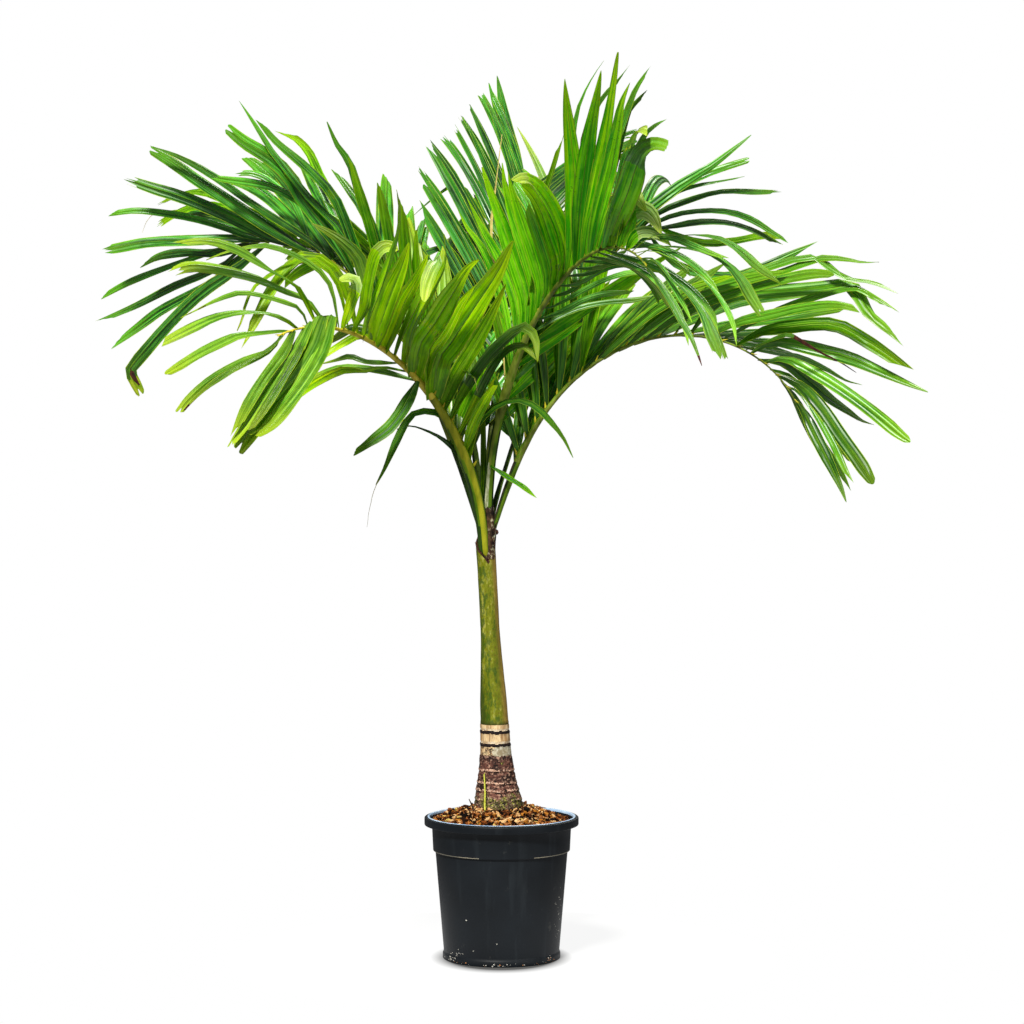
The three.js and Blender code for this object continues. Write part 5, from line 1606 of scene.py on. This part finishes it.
def makeRib(frond, line, number):
    bag, lines = Bag(), []
    channel = frond["channel"]
    for point, right, upper, radius, share in ribSections(frond, line):
        bare = 1 - smooth((share - frond["firstLeaf"] * 0.8) / 0.1)
        ring = []
        for angle in turns(ribShape["sides"]):
            x, y = math.cos(angle), -math.sin(angle)
            speck = grain(x * 3 + number, y * 3, share * 50)
            # how far this side faces left or right; the deep green bands chosen from it are partly painted
            # shade
            turned = (right * x + upper * y)[0] / (1 + 5 * max(0, share - 0.14))  # the middle band widens
            tone = ribTone(frond, share, bare, speck, turned, y > 0)
            if y > 0:  # the stalk is channelled above, the blade's rib is ridged there
                y *= lerp(ribShape["flatBlade"], ribShape["flatChannel"], bare * channel)
                y -= ribShape["channelDepth"] * bare * channel * bump(x, 0, ribShape["channelWidth"])
            y *= ribShape["flat"] if y > 0 else lerp(1.0, ribShape["flatStalk"], bare)
            wave = 1 + ribShape["uneven"] * grain(x * 2, y * 2, share * 30 + number)
            ring.append((point + right * radius * x * wave + upper * radius * y * wave, ribInkOf[tone]))
        lines.append(ring)
    bag.shell(lines)
    for leaf in leafletsOf(frond, number):
        points, acrosses, overs, ways = bladeLine(frond, line, leaf)
        reach = ribRadius(leaf["at"], frond)
        size = ribShape["jointRadius"] * lerp(1, ribShape["jointTaper"], leaf["share"])
        places = (reach * 0.3, reach + 1, reach + 6, reach + ribShape["jointLength"])
        bar(bag, [points[0] + ways[0] * place for place in places],
            [size * 0.9, size, size * 0.8, size * 0.25], ribShape["jointSides"], ribInkOf["joint"])
    bag.piece(frond["name"] + "_rib", ribFinishes.values(), frond["name"] + "_stalk", "stalk", 40)


def tipKind(value):
    for kind, part in blade["tips"].items():
        value -= part
        if value < 0:
            return kind
    return "thread"


def makeLeaflets(frond, line, number):
    bag = Bag()
    ledOnes = ledLeaflets.get(frond["name"], {})
    for leaf in leafletsOf(frond, number):
        draws = [chance(number + 20, leaf["number"], draw) for draw in range(12)]
        tint, kind, extras = int(draws[8] * len(tints)), tipKind(draws[9]), {}
        if leaf["number"] in ledOnes:
            leaf["width"], face, kind, tint, places, *others = ledOnes[leaf["number"]]
            extras = others[0] if others else {}
            sway = np.array([draws[1] - 0.5, 0, 0.7 * (draws[2] - 0.5)]) * blade["sway"]
            usual = bladeLine(frond, line, leaf)[0]
            points = [usual[0]] + ledPoints(usual, leaf["length"], places, extras)
            path = curvedLine(points, [sway + turned for turned in ledFaces[face]])
        else:
            crease = (int(13 + 8 * draws[1]), 50 + 70 * draws[2]) if draws[10] < blade["creased"] else None
            if draws[11] < blade["dead"]:
                extras["tail"] = (blade["deadFrom"], "dried")
            if kind == "thread" and draws[3] < 0.5:
                extras["thread"] = 30 + 50 * draws[2]
            path = bladeLine(frond, line, leaf, crease)
        inks = ["top%d" % tint, "under%d" % tint, "midrib", "margin", "dried"]
        makeBlade(bag, path, leaf, [inkOf[name] for name in inks], draws, kind, extras)
    for place, stray in enumerate(frond.get("strays", [])):
        draws = [chance(number + 40, place, draw) for draw in range(12)]
        path = curvedLine(stray["points"], [stray["face"]] * 2)
        inks = [inkOf[name] for name in stray["inks"].split()]
        makeBlade(bag, path, stray, inks, draws, stray["tip"], stray)
    finishes = [leafFinishes[frond[face], n] for face in ("top", "under") for n in range(len(tints))]
    bag.piece(frond["name"] + "_leaflets", finishes + list(leafTrims.values()),
              [frond["name"] + "_inner", frond["name"] + "_outer"], "leaflet", 46)
    print(frond["name"], len(bag.faces), "faces")


for number, frond in enumerate(fronds):
    line = ribLine(frond)
    makeRib(frond, line, number)
    makeLeaflets(frond, line, number)


# The youngest leaf, furled into a spear

spear = {"height": 470, "radius": 8, "lean": 3, "azimuth": 100, "sunk": 20, "tipRadius": 0.4, "taper": 0.8,
         "rings": 60, "sides": 28, "pleats": 7, "pleatDepth": 0.09, "pleatTurn": 5}


def makeSpear():
    foot = (stemCentre(stem["topOfSheath"]), 0, stem["topOfSheath"] - spear["sunk"])
    frond = {"foot": foot, "azimuth": spear["azimuth"], "turn": 0, "lean": (0, spear["lean"]), "bend": 1,
             "length": spear["height"] + spear["sunk"], "roll": (0, 0)}
    line = ribLine(frond)
    bag, lines = Bag(), []
    for i in range(spear["rings"] + 1):
        share = i / spear["rings"]
        point, way, right, upper = placeOnRib(frond, line, share)
        radius = (spear["radius"] - 0.6) * (1 - share) ** spear["taper"] + spear["tipRadius"]
        ring = []
        for angle in turns(spear["sides"]):
            wave = math.cos(-spear["pleats"] * angle + spear["pleatTurn"] * share)
            pleat = 1 + spear["pleatDepth"] * wave
            place = (point + right * radius * pleat * math.cos(angle)
                     - upper * radius * pleat * math.sin(angle))
            ring.append((place, 1 if wave < -0.5 else 0))
        lines.append(ring)
    bag.shell(lines)
    bag.piece("spearLeaf", [leafFinishes["freshUnder", 2], leafFinishes["mildUnder", 0]], "spear_leaf",
              "young_leaf", 40)


makeSpear()
print("fronds made")
